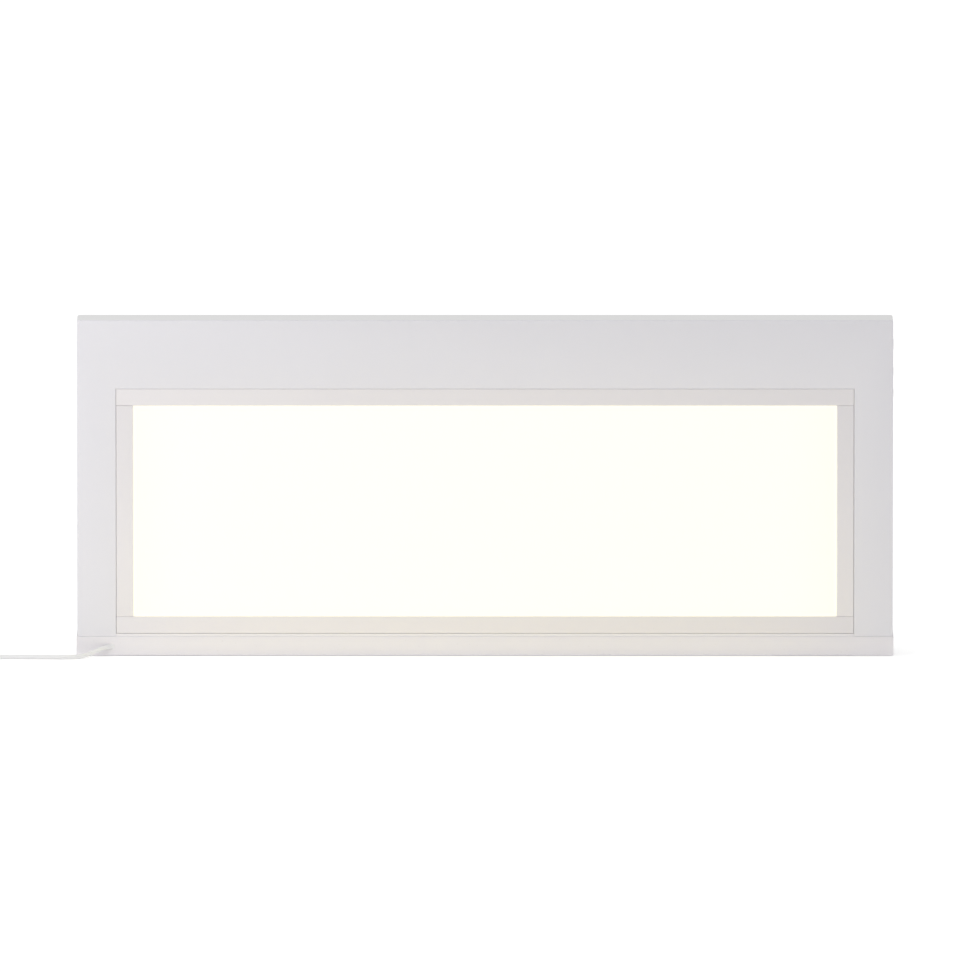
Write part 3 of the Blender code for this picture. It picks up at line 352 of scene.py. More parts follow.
RAIL_COAT = coated("rail_coat", (0.760, 0.738, 0.760), 0.36, 0.0006, 3e-6, 0.0026, 9e-6, lines=0.35)
PLATE_COAT = coated("plate_coat", (0.718, 0.707, 0.740), 0.44, 0.0005, 4e-6, 0.0022, 10e-6)
SHELL_PLASTIC = coated("shell_plastic", (0.755, 0.753, 0.751), 0.50, 0.0004, 9e-6, 0.0040, 8e-6)
BEZEL_PLASTIC = coated("bezel_plastic", (0.740, 0.714, 0.725), 0.38, 0.0004, 4e-6, 0.0030, 6e-6, lines=0.25)
CAP_PLASTIC = coated("cap_plastic", (0.735, 0.730, 0.722), 0.46, 0.0004, 8e-6, 0.0040, 6e-6)
LEG_PLASTIC = coated("leg_plastic", (0.730, 0.726, 0.718), 0.44, 0.0004, 9e-6, 0.0040, 8e-6)
BUTTON_PLASTIC = coated("button_plastic", (0.560, 0.560, 0.570), 0.40, 0.0003, 6e-6, 0.0020, 4e-6)
PLUG_PLASTIC = coated("plug_plastic", (0.760, 0.755, 0.748), 0.42, 0.0003, 5e-6, 0.0025, 5e-6)
CORD_JACKET = coated("cord_jacket", (0.762, 0.762, 0.768), 0.46, 0.0004, 5e-6, 0.0022, 12e-6, gloss=0.4)
TIE_FABRIC = coated("tie_fabric", (0.710, 0.705, 0.698), 0.78, 0.0003, 40e-6, 0.0009, 40e-6, gloss=0.2)
print("white finishes made")

# %% [markdown]
# ## The lit panel
# The opal sheet is lit from its edges by rows of LEDs, through a clear guide with printed dots. It looks
# almost even: each lamp leaves a faint lighter spot at the edge, and the light is a little weaker towards
# the edges and fades in a narrow line along the bezel. The colour is a warm white, brighter than anything
# round it, so the sheet is an emitter.

# %% Opal sheet
PANEL_LIGHT = (2.00, 1.76, 0.64)
PANEL_EDGE_LIGHT = (1.90, 1.66, 0.59)
PANEL_RIM_LIGHT = (0.78, 0.76, 0.68)
RIM = 0.0030                    # the light fades over this much along the bezel


def make_opal():
    finish = Finish("opal_sheet", Roughness=0.35)
    finish.shader.inputs["Base Color"].default_value = (0.30, 0.30, 0.30, 1.0)
    finish.shader.inputs["Emission Strength"].default_value = 1.0
    low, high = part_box("diffuser_panel")
    seen = (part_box("bezel_left")[1].x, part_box("bezel_bottom")[1].z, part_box("bezel_top")[0].z)
    middle = (low + high) / 2
    parts = [finish.node("ShaderNodeSeparateXYZ", {}, {"Vector": finish.place}, axis) for axis in (0, 2)]
    sides = (
        (parts[0], middle.x, high.x - middle.x, middle.x - seen[0]),
        (parts[1], (seen[1] + seen[2]) / 2, high.z - middle.z, (seen[2] - seen[1]) / 2),
    )
    edges = []
    rims = []
    for part, centre, reach, seen_reach in sides:
        away = (part - centre).math("ABSOLUTE")
        edges.append(finish.above(away * (1 / reach), 0.80, 1.02))
        rims.append(finish.above(away, seen_reach - RIM, seen_reach))
    dim = edges[0].math("MAXIMUM", edges[1]) * 0.8
    waves = (parts[0] * (2 * math.pi / 0.024)).math("COSINE") * 0.5 + 0.5
    spots = waves * edges[1] * 0.3
    unevenness = (finish.noise(0.05, 2.0) - 0.5) * 0.15
    weak = (dim - spots + unevenness).math("MAXIMUM", 0.0)
    light = finish.blend(weak, PANEL_LIGHT, PANEL_EDGE_LIGHT)
    rim = rims[0].math("MAXIMUM", rims[1])
    finish.feed("Emission Color", finish.blend(rim, light, PANEL_RIM_LIGHT))
    finish.feed("Roughness", finish.noise(0.01) * 0.1 + 0.3)
    finish.bump(finish.noise(0.0008), 4e-6)
    return finish.material


OPAL = make_opal()

# %% [markdown]
# ## Metal and rubber
# The screws, the hinge pins and the plug's sheath are nickel-plated steel. Turning and rolling leave fine
# streaks, and handling dulls the plating in patches. The feet, pads and tips are grey rubber with a
# mottled, slightly dusty skin.

# %% Steel, rubber and inner finishes
def steel(name, color, roughness, streaks):
    finish = Finish(name, Metallic=1.0)
    drawn = finish.noise(0.0004, 3.0, streaks, 2.0)
    dull = finish.above(finish.noise(0.004, 3.0), 0.45, 0.75)
    finish.feed("Base Color", finish.blend(dull, color, shade(color, 0.82)))
    finish.feed("Roughness", drawn * 0.16 + dull * 0.12 + roughness)
    finish.bump(drawn, 3e-6)
    return finish.material


def rubber(name, color):
    finish = Finish(name, Specular_IOR_Level=0.3)
    mottle = finish.noise(0.0012, 4.0)
    dust = finish.above(finish.noise(0.006, 3.0, offset=4.0), 0.50, 0.80)
    finish.feed("Base Color", finish.blend(dust * 0.4, color, shade(color, 1.5)))
    finish.feed("Roughness", mottle * 0.15 + 0.68)
    finish.bump(mottle, 25e-6)
    return finish.material


def board(name, color, trace_color):
    """A printed board: lacquer over a grid of copper tracks."""
    finish = Finish(name, Coat_Weight=0.3)
    settings = {"feature": "DISTANCE_TO_EDGE"}
    cells = finish.node("ShaderNodeTexVoronoi", settings, {"Vector": finish.place, "Scale": 260.0})
    tracks = 1 - finish.above(cells, 0.04, 0.08)
    finish.feed("Base Color", finish.blend(tracks * 0.5, color, trace_color))
    finish.feed("Roughness", finish.noise(0.002) * 0.15 + 0.35)
    finish.bump(tracks, 20e-6)
    return finish.material


def clear_sheet(name):
    finish = Finish(name, Transmission_Weight=1.0, IOR=1.49, Coat_Weight=0.0)
    finish.shader.inputs["Base Color"].default_value = (0.97, 0.98, 0.98, 1.0)
    finish.feed("Roughness", finish.noise(0.02, 3.0) * 0.06 + 0.03)
    dots = finish.node("ShaderNodeTexVoronoi", {}, {"Vector": finish.place, "Scale": 700.0})
    finish.bump(finish.above(dots, 0.20, 0.30), 8e-6)
    return finish.material


SCREW_STEEL = steel("screw_steel", (0.60, 0.59, 0.57), 0.24, (1.0, 0.2, 1.0))
PIN_STEEL = steel("pin_steel", (0.55, 0.55, 0.55), 0.22, (0.1, 1.0, 1.0))
PLUG_STEEL = steel("plug_steel", (0.66, 0.65, 0.63), 0.20, (1.0, 0.08, 1.0))
PANEL_METAL = steel("panel_metal", (0.72, 0.73, 0.74), 0.34, (0.02, 1.0, 1.0))
FOOT_RUBBER = rubber("foot_rubber", (0.27, 0.27, 0.28))
BLACK_RESIN = rubber("black_resin", (0.03, 0.03, 0.035))
GREEN_BOARD = board("green_board", (0.03, 0.17, 0.07), (0.10, 0.32, 0.12))
LAMP_BOARD = board("lamp_board", (0.80, 0.80, 0.77), (0.62, 0.60, 0.52))
CLEAR_GUIDE = clear_sheet("clear_guide")

FINISH_OF = {
    "rail_end_cap": CAP_PLASTIC, "rail_pad": FOOT_RUBBER, "rear_shell": SHELL_PLASTIC,
    "diffuser_panel": OPAL, "light_guide": CLEAR_GUIDE, "reflector_sheet": CAP_PLASTIC,
    "panel_back_plate": PANEL_METAL, "led_board": LAMP_BOARD, "driver_board": GREEN_BOARD,
    "control_board": GREEN_BOARD, "driver_inductor": BLACK_RESIN, "driver_capacitor": BLACK_RESIN,
    "switch": BLACK_RESIN, "connector": CAP_PLASTIC, "socket": CAP_PLASTIC, "lead": CORD_JACKET,
    "leg_tip": FOOT_RUBBER, "leg_pin": PIN_STEEL, "leg": LEG_PLASTIC, "cable_clamp": CAP_PLASTIC,
    "base_rail": RAIL_COAT, "front_plate": PLATE_COAT, "bezel": BEZEL_PLASTIC, "button": BUTTON_PLASTIC,
    "back_foot": FOOT_RUBBER, "shell_screw": SCREW_STEEL, "cord": CORD_JACKET, "coil_tie": TIE_FABRIC,
    "plug_shell": PLUG_STEEL, "plug": PLUG_PLASTIC,
}


def finish_for(name):
    """The finish whose word is the longest one in the piece's name."""
    words = [word for word in FINISH_OF if word in name]
    return FINISH_OF[max(words, key=len)]


for name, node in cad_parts.items():
    node.data.materials.clear()
    node.data.materials.append(finish_for(name))
cord.data.materials.clear()
cord.data.materials.append(CORD_JACKET)
print("finished", len(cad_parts), "packed nodes")

# %% [markdown]
# ## Tools for the pieces
# Most pieces here are sheet, strip or extrusion: a box whose edges are rounded, cut along planes, with
# some faces drawn out or in. Edges are picked by where they lie and which way they run, because picking
# by index breaks as soon as a step changes. The last helper turns a bmesh into a finished piece on its
# body.

# %% Mesh helpers
GAP = 0.0003                    # between the solids
MERGE = 1e-7                    # points closer than this become one
ALONG = 0.99                    # cosine from which a direction counts as an axis's own


def add_box(bm, low, high):
    low = Vector(low)
    high = Vector(high)
    made = bmesh.ops.create_cube(bm, size=1.0)["verts"]
    bmesh.ops.scale(bm, vec=high - low, verts=made)
    bmesh.ops.translate(bm, vec=(low + high) / 2, verts=made)
    return made


def box_and_middle(node):
    low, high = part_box(node)
    return low, high, (low + high) / 2


def new_parts(made, kind):
    """The vertices or the edges in an operator's result."""
    return [g for g in made["geom"] if isinstance(g, kind)]


def edges_along(bm, axis, test):
    """The edges that run along an axis and whose middle passes the test."""
    found = []
    for edge in bm.edges:
        first, second = (vert.co for vert in edge.verts)
        if abs((second - first).normalized()[axis]) > ALONG and test((first + second) / 2):
            found.append(edge)
    return found


def round_off(bm, edges, width, segments=4):
    bmesh.ops.bevel(
        bm, geom=edges, offset=width, segments=segments, profile=0.5, affect="EDGES", material=-1,
        clamp_overlap=True,
    )


def slice_at(bm, axis, *places):
    """Cuts every face along planes across an axis."""
    for place in places:
        normal = Vector((0.0, 0.0, 0.0))
        normal[axis] = 1.0
        geom = [*bm.verts, *bm.edges, *bm.faces]
        bmesh.ops.bisect_plane(bm, geom=geom, plane_co=normal * place, plane_no=normal, dist=MERGE)


def faces_facing(bm, axis, side, test):
    """The faces whose normal points along an axis and whose middle passes the test."""
    bm.normal_update()
    return [f for f in bm.faces if f.normal[axis] * side > ALONG and test(f.calc_center_median())]


def draw_out(bm, faces, move):
    """Extrudes faces as one region. Where they lie inside a surface, the old faces are deleted."""
    inside = all(len(edge.link_faces) > 1 for face in faces for edge in face.edges)
    made = bmesh.ops.extrude_face_region(bm, geom=faces)
    if inside:
        bmesh.ops.delete(bm, geom=faces, context="FACES")
    bmesh.ops.translate(bm, vec=Vector(move), verts=new_parts(made, BMVert))


def opening(bm, face, outline, depth, lip=0.0, floor=False):
    """Replaces a face by an opening with its own outline, drawn in by a depth, with a rounded lip."""
    border = list(face.edges)
    bmesh.ops.delete(bm, geom=[face], context="FACES_ONLY")
    ring = [bm.verts.new(place) for place in outline]
    rim = [bm.edges.new(pair) for pair in zip(ring, [*ring[1:], ring[0]])]
    bmesh.ops.triangle_fill(bm, edges=border + rim, use_beauty=True, use_dissolve=False)
    inner = new_parts(bmesh.ops.extrude_edge_only(bm, edges=rim), BMVert)
    bmesh.ops.translate(bm, vec=Vector(depth), verts=inner)
    if floor:
        bmesh.ops.contextual_create(bm, geom=inner)
    if lip:
        round_off(bm, rim, lip, 3)


def round_outline(centre, across, up, width, height, corner=None, sides=32):
    """Points round a rectangle with round corners, or, with no corner size, round a slot or a circle."""
    across = Vector(across)
    up = Vector(up)
    radius = corner or min(width, height) / 2
    made = []
    for number in range(sides):
        angle = 2 * math.pi * (number + 0.5) / sides
        x = math.cos(angle) * radius
        y = math.sin(angle) * radius
        x += math.copysign(width / 2 - radius, x)
        y += math.copysign(height / 2 - radius, y)
        made.append(Vector(centre) + across * x + up * y)
    return made


def finished(name, bm, replaced=(), body="housing", smooth=40, turn_out=True):
    """Closes a bmesh into a piece with its finish, rides it on a body and hides the imported parts that it
    replaces.
    """
    bmesh.ops.remove_doubles(bm, verts=bm.verts, dist=MERGE)
    if turn_out:
        bmesh.ops.recalc_face_normals(bm, faces=bm.faces)
        if bm.calc_volume(signed=True) < 0:
            bmesh.ops.reverse_faces(bm, faces=bm.faces)
    mesh = bpy.data.meshes.new(name)
    bm.to_mesh(mesh)
    bm.free()
    mesh.shade_smooth()
    mesh.set_sharp_from_angle(angle=math.radians(smooth))
    mesh.materials.append(finish_for(replaced[0] if replaced else name))
    piece = bpy.data.objects.new(name, mesh)
    bpy.context.scene.collection.objects.link(piece)
    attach(piece, body)
    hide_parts(*replaced)
    return piece


# %% [markdown]
# ## Base rail
# The rail is an aluminium extrusion: a flat rectangular tube with small rounded edges and a low tongue on
# top, which fills the gap below the bezel. A box gives it, with its long edges rounded, the tongue drawn
# up from the top face, and the slot for the lead cut in the front wall. Both ends are sunk for their
# caps.

# %% Base rail
RAIL_EDGE = 0.0007
RAIL_WALL = 0.0018
SLOT_WIDTH = 0.0074
SLOT_HEIGHT = 0.0040
SLOT_FIELD = (1.6 * SLOT_WIDTH, 1.5 * SLOT_HEIGHT)  # the part of the face that the slot is cut in
SLOT_LIP = 0.0001
END_SINK = 0.0030               # the rail's ends are sunk by this much for the caps
PLATE_THICKNESS = 0.0025
PLATE_SEAM = 0.00006            # between the plate and the rail or the top strip
BEZEL_ROOM = 0.0005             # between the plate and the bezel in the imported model
TONGUE_RISE = 0.0003            # the tongue reaches up to the bezel

rail_low, tongue_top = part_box("base_rail")
plate_low, plate_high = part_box("front_plate")
bezel_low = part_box("bezel_bottom")[0]
RAIL_TOP = plate_low.z - PLATE_SEAM
TONGUE_HALF = -bezel_low.x + BEZEL_ROOM - GAP


def make_rail():
    bm = bmesh.new()
    rail_high = Vector((tongue_top.x, tongue_top.y, RAIL_TOP))
    add_box(bm, rail_low, rail_high)
    for side in (-1, 1):
        end = faces_facing(bm, 0, side, lambda p: p.x * side > rail_high.x - RAIL_WALL)
        bmesh.ops.inset_region(bm, faces=end, thickness=RAIL_WALL, use_even_offset=True)
        draw_out(bm, end, (-side * END_SINK, 0, 0))
    middle = (rail_low + rail_high) / 2
    outside = rail_high.y - middle.y - RAIL_WALL / 2
    round_off(bm, edges_along(bm, 0, lambda p: abs(p.y - middle.y) > outside), RAIL_EDGE)
    slice_at(bm, 0, -TONGUE_HALF, TONGUE_HALF)
    plate_back = plate_low.y + PLATE_THICKNESS
    slice_at(bm, 1, plate_low.y, plate_back)
    ledge = faces_facing(bm, 2, 1, lambda p: abs(p.x) < TONGUE_HALF and plate_low.y < p.y < plate_back)
    draw_out(bm, ledge, (0, 0, tongue_top.z + TONGUE_RISE - RAIL_TOP))
    cut_slot(bm)
    finished("rail", bm, ("base_rail",))


def cut_slot(bm):
    """Cuts the front face round the slot, joins what lies inside the cuts and opens the slot in it."""
    x, y, z = CORD_EXIT
    half_x, half_z = (size / 2 for size in SLOT_FIELD)
    slice_at(bm, 0, x - half_x, x + half_x)
    slice_at(bm, 2, z - half_z, z + half_z)
    field = faces_facing(bm, 1, -1, lambda p: abs(p.x - x) < half_x and abs(p.z - z) < half_z)
    whole = bmesh.ops.dissolve_faces(bm, faces=field, use_verts=False)["region"]
    outline = round_outline((x, rail_low.y, z), (1, 0, 0), (0, 0, 1), SLOT_WIDTH, SLOT_HEIGHT)
    opening(bm, whole[0], outline, (0, RAIL_WALL, 0), lip=SLOT_LIP)


make_rail()

# %% [markdown]
# ## End caps and bushing
# A moulded cap closes each end of the rail. Its face is inset and sunk first, and its edges are rounded
# after that, because an inset of rounded corners would fold over itself. The bushing is the slot's own
# outline, made smaller by its fit and drawn back into the rail.

# %% End caps and bushing
CAP_EDGE = 0.0004
CAP_RIM = 0.0016
CAP_RECESS = 0.0005
BUSHING_FIT = 0.00002
BUSHING_LENGTH = 0.0020


def make_end_caps():
    for word, side in (("left", -1), ("right", 1)):
        node = f"rail_end_cap_{word}"
        low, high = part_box(node)
        bm = bmesh.new()
        add_box(bm, low, high)
        face = faces_facing(bm, 0, side, lambda p: True)
        border = list(face[0].edges)
        corners = edges_along(bm, 0, lambda p: True)
        bmesh.ops.inset_region(bm, faces=face, thickness=CAP_RIM, use_even_offset=True)
        draw_out(bm, face, (-side * CAP_RECESS, 0, 0))
        round_off(bm, border + corners, CAP_EDGE, 3)
        finished(f"end_cap_{word}", bm, (node,))


def make_bushing():
    """The soft bushing moulded on the lead. It fills the slot, so only a fine line shows round it."""
    outline = round_outline(
        (CORD_EXIT[0], rail_low.y, CORD_EXIT[2]), (1, 0, 0), (0, 0, 1),
        SLOT_WIDTH - 2 * BUSHING_FIT, SLOT_HEIGHT - 2 * BUSHING_FIT,
    )
    bm = bmesh.new()
    face = bm.faces.new([bm.verts.new(place) for place in outline])
    draw_out(bm, [face], (0, BUSHING_LENGTH, 0))
    bmesh.ops.recalc_face_normals(bm, faces=bm.faces)
    face = faces_facing(bm, 1, -1, lambda p: True)
    round_off(bm, list(face[0].edges), SLOT_LIP, 2)
    finished("cord_bushing", bm)


make_end_caps()
make_bushing()

# %% [markdown]
# ## Front plate
# The plate is one coated sheet with the window cut out of it down to its lower edge, so it has the
# outline of an upturned U. The outline needs eight corners. It is drawn back by the thickness of the
# sheet, then the outer edges are rounded as a thick coat rounds them, and the edges of the cut-out only a
# little.

# %% Front plate
PLATE_EDGE = 0.0008
CUT_EDGE = 0.0004
SIDE_SEAM = 0.00022             # beside the bezel
bezel_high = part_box("bezel_top")[1]


def make_plate():
    reach = plate_high.x
    cut_x = bezel_high.x + SIDE_SEAM
    cut_top = bezel_high.z + PLATE_SEAM
    outline = [
        (-reach, plate_low.z), (-cut_x, plate_low.z), (-cut_x, cut_top), (cut_x, cut_top),
        (cut_x, plate_low.z), (reach, plate_low.z), (reach, plate_high.z), (-reach, plate_high.z),
    ]
    bm = bmesh.new()
    face = bm.faces.new([bm.verts.new((x, plate_low.y, z)) for x, z in outline])
    draw_out(bm, [face], (0, PLATE_THICKNESS, 0))
    bmesh.ops.recalc_face_normals(bm, faces=bm.faces)

    def in_front(p):
        return p.y < plate_low.y + NEAR

    outer = edges_along(bm, 2, lambda p: in_front(p) and abs(p.x) > cut_x + PLATE_EDGE)
    outer += edges_along(bm, 0, lambda p: in_front(p) and p.z > cut_top + PLATE_EDGE)
    outer += edges_along(bm, 1, lambda p: p.z > cut_top + PLATE_EDGE)
    inner = edges_along(bm, 2, lambda p: in_front(p) and abs(p.x) < cut_x + PLATE_EDGE)
    inner += edges_along(bm, 0, lambda p: in_front(p) and p.z < cut_top + PLATE_EDGE)
    round_off(bm, outer, PLATE_EDGE)
    inner = [e for e in inner if e.is_valid]
    round_off(bm, inner, CUT_EDGE, 3)
    finished("plate", bm, ("front_plate",))


make_plate()

# %% [markdown]
# ## Bezel
# Four moulded strips frame the window. Each is an angle: a thin face, and behind its outer edge a web
# that holds the light panel. The strip is a box with a row of faces drawn back for the web. Its inner
# edge is rounded more than the rest, and that edge catches the light of the panel. Top and bottom run
# through, and the side strips butt against them.

# %% Bezel strips
FACE_THICKNESS = 0.0015
INNER_EDGE = 0.0007
OUTER_EDGE = 0.00025
END_EDGE = 0.00008
JOINT = 0.00002                 # between two strips


def make_strip(word, along, outward):
    """A strip that runs along an axis. Outward is +1 or -1 on the other axis of the window's plane."""
    node = f"bezel_{word}"
    low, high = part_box(node)
    if along == 2:
        reach = Vector((0.0, 0.0, GAP - JOINT))
        low -= reach
        high += reach
    across = 2 - along
    bm = bmesh.new()
    add_box(bm, low, (high.x, low.y + FACE_THICKNESS, high.z))
    outer = high[across] if outward > 0 else low[across]
    inner = low[across] if outward > 0 else high[across]
    slice_at(bm, across, outer - outward * FACE_THICKNESS)
    web = faces_facing(bm, 1, 1, lambda p: abs(p[across] - outer) < FACE_THICKNESS)
    draw_out(bm, web, (0, high.y - low.y - FACE_THICKNESS, 0))

    def in_front(p):
        return p.y < low.y + NEAR

    for place, width, segments in ((inner, INNER_EDGE, 5), (outer, OUTER_EDGE, 3)):
        edges = edges_along(bm, along, lambda p: in_front(p) and abs(p[across] - place) < NEAR)
        round_off(bm, edges, width, segments)
    round_off(bm, edges_along(bm, across, in_front), END_EDGE, 2)
    finished(f"{node}_strip", bm, (node,))


for word, along, outward in (("top", 0, 1), ("bottom", 0, -1), ("left", 2, -1), ("right", 2, 1)):
    make_strip(word, along, outward)

# %% [markdown]
# ## Rear shell
# The shell is a moulded tray, and its back and sides are what is seen of it. A box with rounded edges
# gives it. Cuts across the back make one face round each leg, and that face becomes a well: its outline
# is a rectangle with round corners, its lip is rounded and it has a floor. The three holes for the keys
# are made the same way in the right side. The front stays open, because the plate and the panel close it.

# %% Rear shell
SHELL_EDGE = 0.0012
WELL_DEPTH = 0.0085
WELL_SIDE = 0.0030              # room at each side of a leg
WELL_ABOVE = 0.0022
WELL_BELOW = 0.0140             # room for a finger
WELL_CORNER = 0.0015
WELL_LIP = 0.0005
WELL_MARGIN = 0.0020            # from the well to the cuts round it
KEY_ROOM = 0.0003
KEY_FLANGE = 0.0010             # the flange is this much wider than the key
KEY_HOLE_DEPTH = 0.0012
KEY_LIP = 0.0003
shell_low, shell_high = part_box("rear_shell")


def make_shell():
    bm = bmesh.new()
    add_box(bm, shell_low, shell_high)
    front = faces_facing(bm, 1, -1, lambda p: True)
    bmesh.ops.delete(bm, geom=front, context="FACES_ONLY")
    closed = [e for e in bm.edges if len(e.link_faces) == 2]
    round_off(bm, closed, SHELL_EDGE, 5)
    wells = []
    for word in ("left", "right"):
        leg_low, leg_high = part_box(f"leg_{word}")
        tip_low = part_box(f"leg_tip_{word}")[0]
        low = Vector((leg_low.x - WELL_SIDE, shell_high.y, tip_low.z - WELL_BELOW))
        high = Vector((leg_high.x + WELL_SIDE, shell_high.y, leg_high.z + WELL_ABOVE))
        wells.append((low, high))
        slice_at(bm, 0, low.x - WELL_MARGIN, high.x + WELL_MARGIN)
    slice_at(bm, 2, wells[0][0].z - WELL_MARGIN, wells[0][1].z + WELL_MARGIN)
    for low, high in wells:
        middle = (low + high) / 2
        face = faces_facing(bm, 1, 1, lambda p: (p - middle).length < WELL_DEPTH)
        outline = round_outline(middle, (-1, 0, 0), (0, 0, 1), high.x - low.x, high.z - low.z, WELL_CORNER)
        opening(bm, face[0], outline, (0, -WELL_DEPTH, 0), lip=WELL_LIP, floor=True)
    keys = []
    for word in ("power", "brighter", "dimmer"):
        low, high, middle = box_and_middle(f"{word}_button")
        middle.x = shell_high.x
        radius = (high.z - low.z) / 2 - KEY_FLANGE + KEY_ROOM
        keys.append((middle, radius))
        slice_at(bm, 2, middle.z - radius - KEY_FLANGE, middle.z + radius + KEY_FLANGE)
    for middle, radius in keys:
        face = faces_facing(bm, 0, 1, lambda p: abs(p.z - middle.z) < radius)
        outline = round_outline(middle, (0, 1, 0), (0, 0, 1), 2 * radius, 2 * radius)
        opening(bm, face[0], outline, (-KEY_HOLE_DEPTH, 0, 0), lip=KEY_LIP)
    finished("back_shell", bm, ("rear_shell",), turn_out=False)


make_shell()

# %% [markdown]
# ## Legs
# The legs and their rubber tips have the right shape already, but with the sharp edges of cut solids. A
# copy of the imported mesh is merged, its flat faces are joined again, and the edges that are left are
# rounded: a small round for the moulded bar and a larger one for the rubber.

# %% Legs
BAR_EDGE = 0.0004
TIP_EDGE = 0.0007
FLAT = math.radians(1)          # faces that meet at less than this are one
SHARP = math.radians(50)


def soften(node, name, body, width):
    bm = bmesh.new()
    bm.from_mesh(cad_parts[node].data)
    bmesh.ops.remove_doubles(bm, verts=bm.verts, dist=NEAR)
    bmesh.ops.dissolve_limit(bm, angle_limit=FLAT, verts=bm.verts, edges=bm.edges)
    sharp = [e for e in bm.edges if e.calc_face_angle(0.0) > SHARP]
    round_off(bm, sharp, width, 3)
    finished(name, bm, (node,), body)


for word in ("left", "right"):
    soften(f"leg_{word}", f"leg_bar_{word}", f"leg_{word}", BAR_EDGE)
    soften(f"leg_tip_{word}", f"leg_foot_{word}", f"leg_{word}", TIP_EDGE)

# %% [markdown]
# ## Turned pieces
# Keys, feet and screws are round. A profile of a few points is spun round its axis, and the spin merges
# its first and last step so that no seam is left. The points lie on the x and z axes, and the mesh is
# then turned to face out of the side or the back of the box.

# %% Turning helpers
def turn_profile(bm, profile, steps=40):
    """Spins (radius, height) points round Z."""
    chain = [bm.verts.new((radius, 0.0, height)) for radius, height in profile]
    edges = [bm.edges.new(pair) for pair in zip(chain, chain[1:])]
    bmesh.ops.spin(
        bm, geom=chain + edges, cent=(0, 0, 0), axis=(0, 0, 1), dvec=(0, 0, 0), angle=2 * math.pi,
        steps=steps, use_merge=True, use_duplicate=False,
    )
    bmesh.ops.remove_doubles(bm, verts=bm.verts, dist=MERGE)


def arc(radius, height, size, first, last, count=5):
    """Points on a quarter round, from one angle to another in degrees."""
    made = []
    for number in range(count):
        angle = math.radians(first + (last - first) * number / (count - 1))
        made.append((radius + size * math.cos(angle), height + size * math.sin(angle)))
    return made


def face_towards(bm, axis, place):
    turn = Vector((0, 0, 1)).rotation_difference(Vector(axis)).to_matrix()
    bmesh.ops.rotate(bm, cent=(0, 0, 0), matrix=turn, verts=bm.verts)
    bmesh.ops.translate(bm, vec=place, verts=bm.verts)


# %% [markdown]
# ## Keys
# Three grey keys sit in holes of the right side. Each has a shallow dish for the finger, a flange that
# keeps it in its hole and a stem that reaches the switch. Each rides on its own body, so it can be
# pressed.

# %% Keys
KEY_EDGE = 0.0004
KEY_DISH = 0.00025              # depth of the dish in the middle
FLANGE_TOP = 0.0044             # heights above the stem's end
FLANGE_BOTTOM = 0.0034
STEM_RADIUS = 0.0013


def make_button(word):
    node = f"{word}_button"
    low, high, middle = box_and_middle(node)
    flange = (high.z - low.z) / 2
    radius = flange - KEY_FLANGE
    top = high.x - low.x
    dish = ((0.0, 1.0), (0.35, 0.8), (0.65, 0.24))
    profile = [(radius * out, top - KEY_DISH * sunk) for out, sunk in dish]
    profile += arc(radius - KEY_EDGE, top - KEY_EDGE, KEY_EDGE, 90, 0)
    profile += [(radius, FLANGE_TOP), (flange, FLANGE_TOP), (flange, FLANGE_BOTTOM)]
    profile += [(STEM_RADIUS, FLANGE_BOTTOM), (STEM_RADIUS, 0.0), (0.0, 0.0)]
    bm = bmesh.new()
    turn_profile(bm, profile)
    face_towards(bm, (1, 0, 0), (low.x, middle.y, middle.z))
    finished(f"{word}_key_cap", bm, (node,), f"{word}_key")


for word in ("power", "brighter", "dimmer"):
    make_button(word)

# %% [markdown]
# ## Feet
# Four rubber feet carry the box when it lies on its back. Each is a low disc with a rounded rim, a sunk
# middle and a ring groove, which gives the rubber its grip. All of that is in the profile.

# %% Feet
FOOT_COUNT = 4
FOOT_EDGE = 0.0007
FOOT_SUNK = 0.0002
FOOT_GROOVE = 0.0006            # depth of the ring groove


def make_foot(number):
    node = f"back_foot_{number}"
    low, high, middle = box_and_middle(node)
    radius = (high.x - low.x) / 2
    top = high.y - low.y
    face = ((0.0, FOOT_SUNK), (0.40, FOOT_SUNK), (0.46, FOOT_GROOVE), (0.54, FOOT_GROOVE), (0.60, 0.0))
    profile = [(radius * out, top - sunk) for out, sunk in face]
    profile += arc(radius - FOOT_EDGE, top - FOOT_EDGE, FOOT_EDGE, 90, 0)
    profile += [(radius, 0.0), (0.0, 0.0)]
    bm = bmesh.new()
    turn_profile(bm, profile)
    face_towards(bm, (0, 1, 0), (middle.x, low.y, middle.z))
    finished(f"rear_foot_{number}", bm, (node,))


for number in range(1, FOOT_COUNT + 1):
    make_foot(number)

# %% [markdown]
# ## Screws
# Six pan-head screws hold the shell on the plate's bosses. A ring of edges is drawn from the flat top
# down the head and along the shank. The cross recess is an opening whose outline is a cross, so it is
# made like the wells. Each screw is turned by its own angle, as no two stop at the same one.

# %% Screws
SCREW_COUNT = 6
SCREW_SIDES = 32
SCREW_RADIUS = 0.0014
SCREW_HEAD = 0.0010
SCREW_TOP = 0.0017              # radius of the flat on the head
SHOULDER = (0.0024, 0.00085)    # radius and height of the head's shoulder
BRIM = 0.0005                   # height of the head's straight side
CROSS_ARM = 0.0011
CROSS_WIDTH = 0.00028
CROSS_DEPTH = 0.0008
SCREW_TURN = 0.7


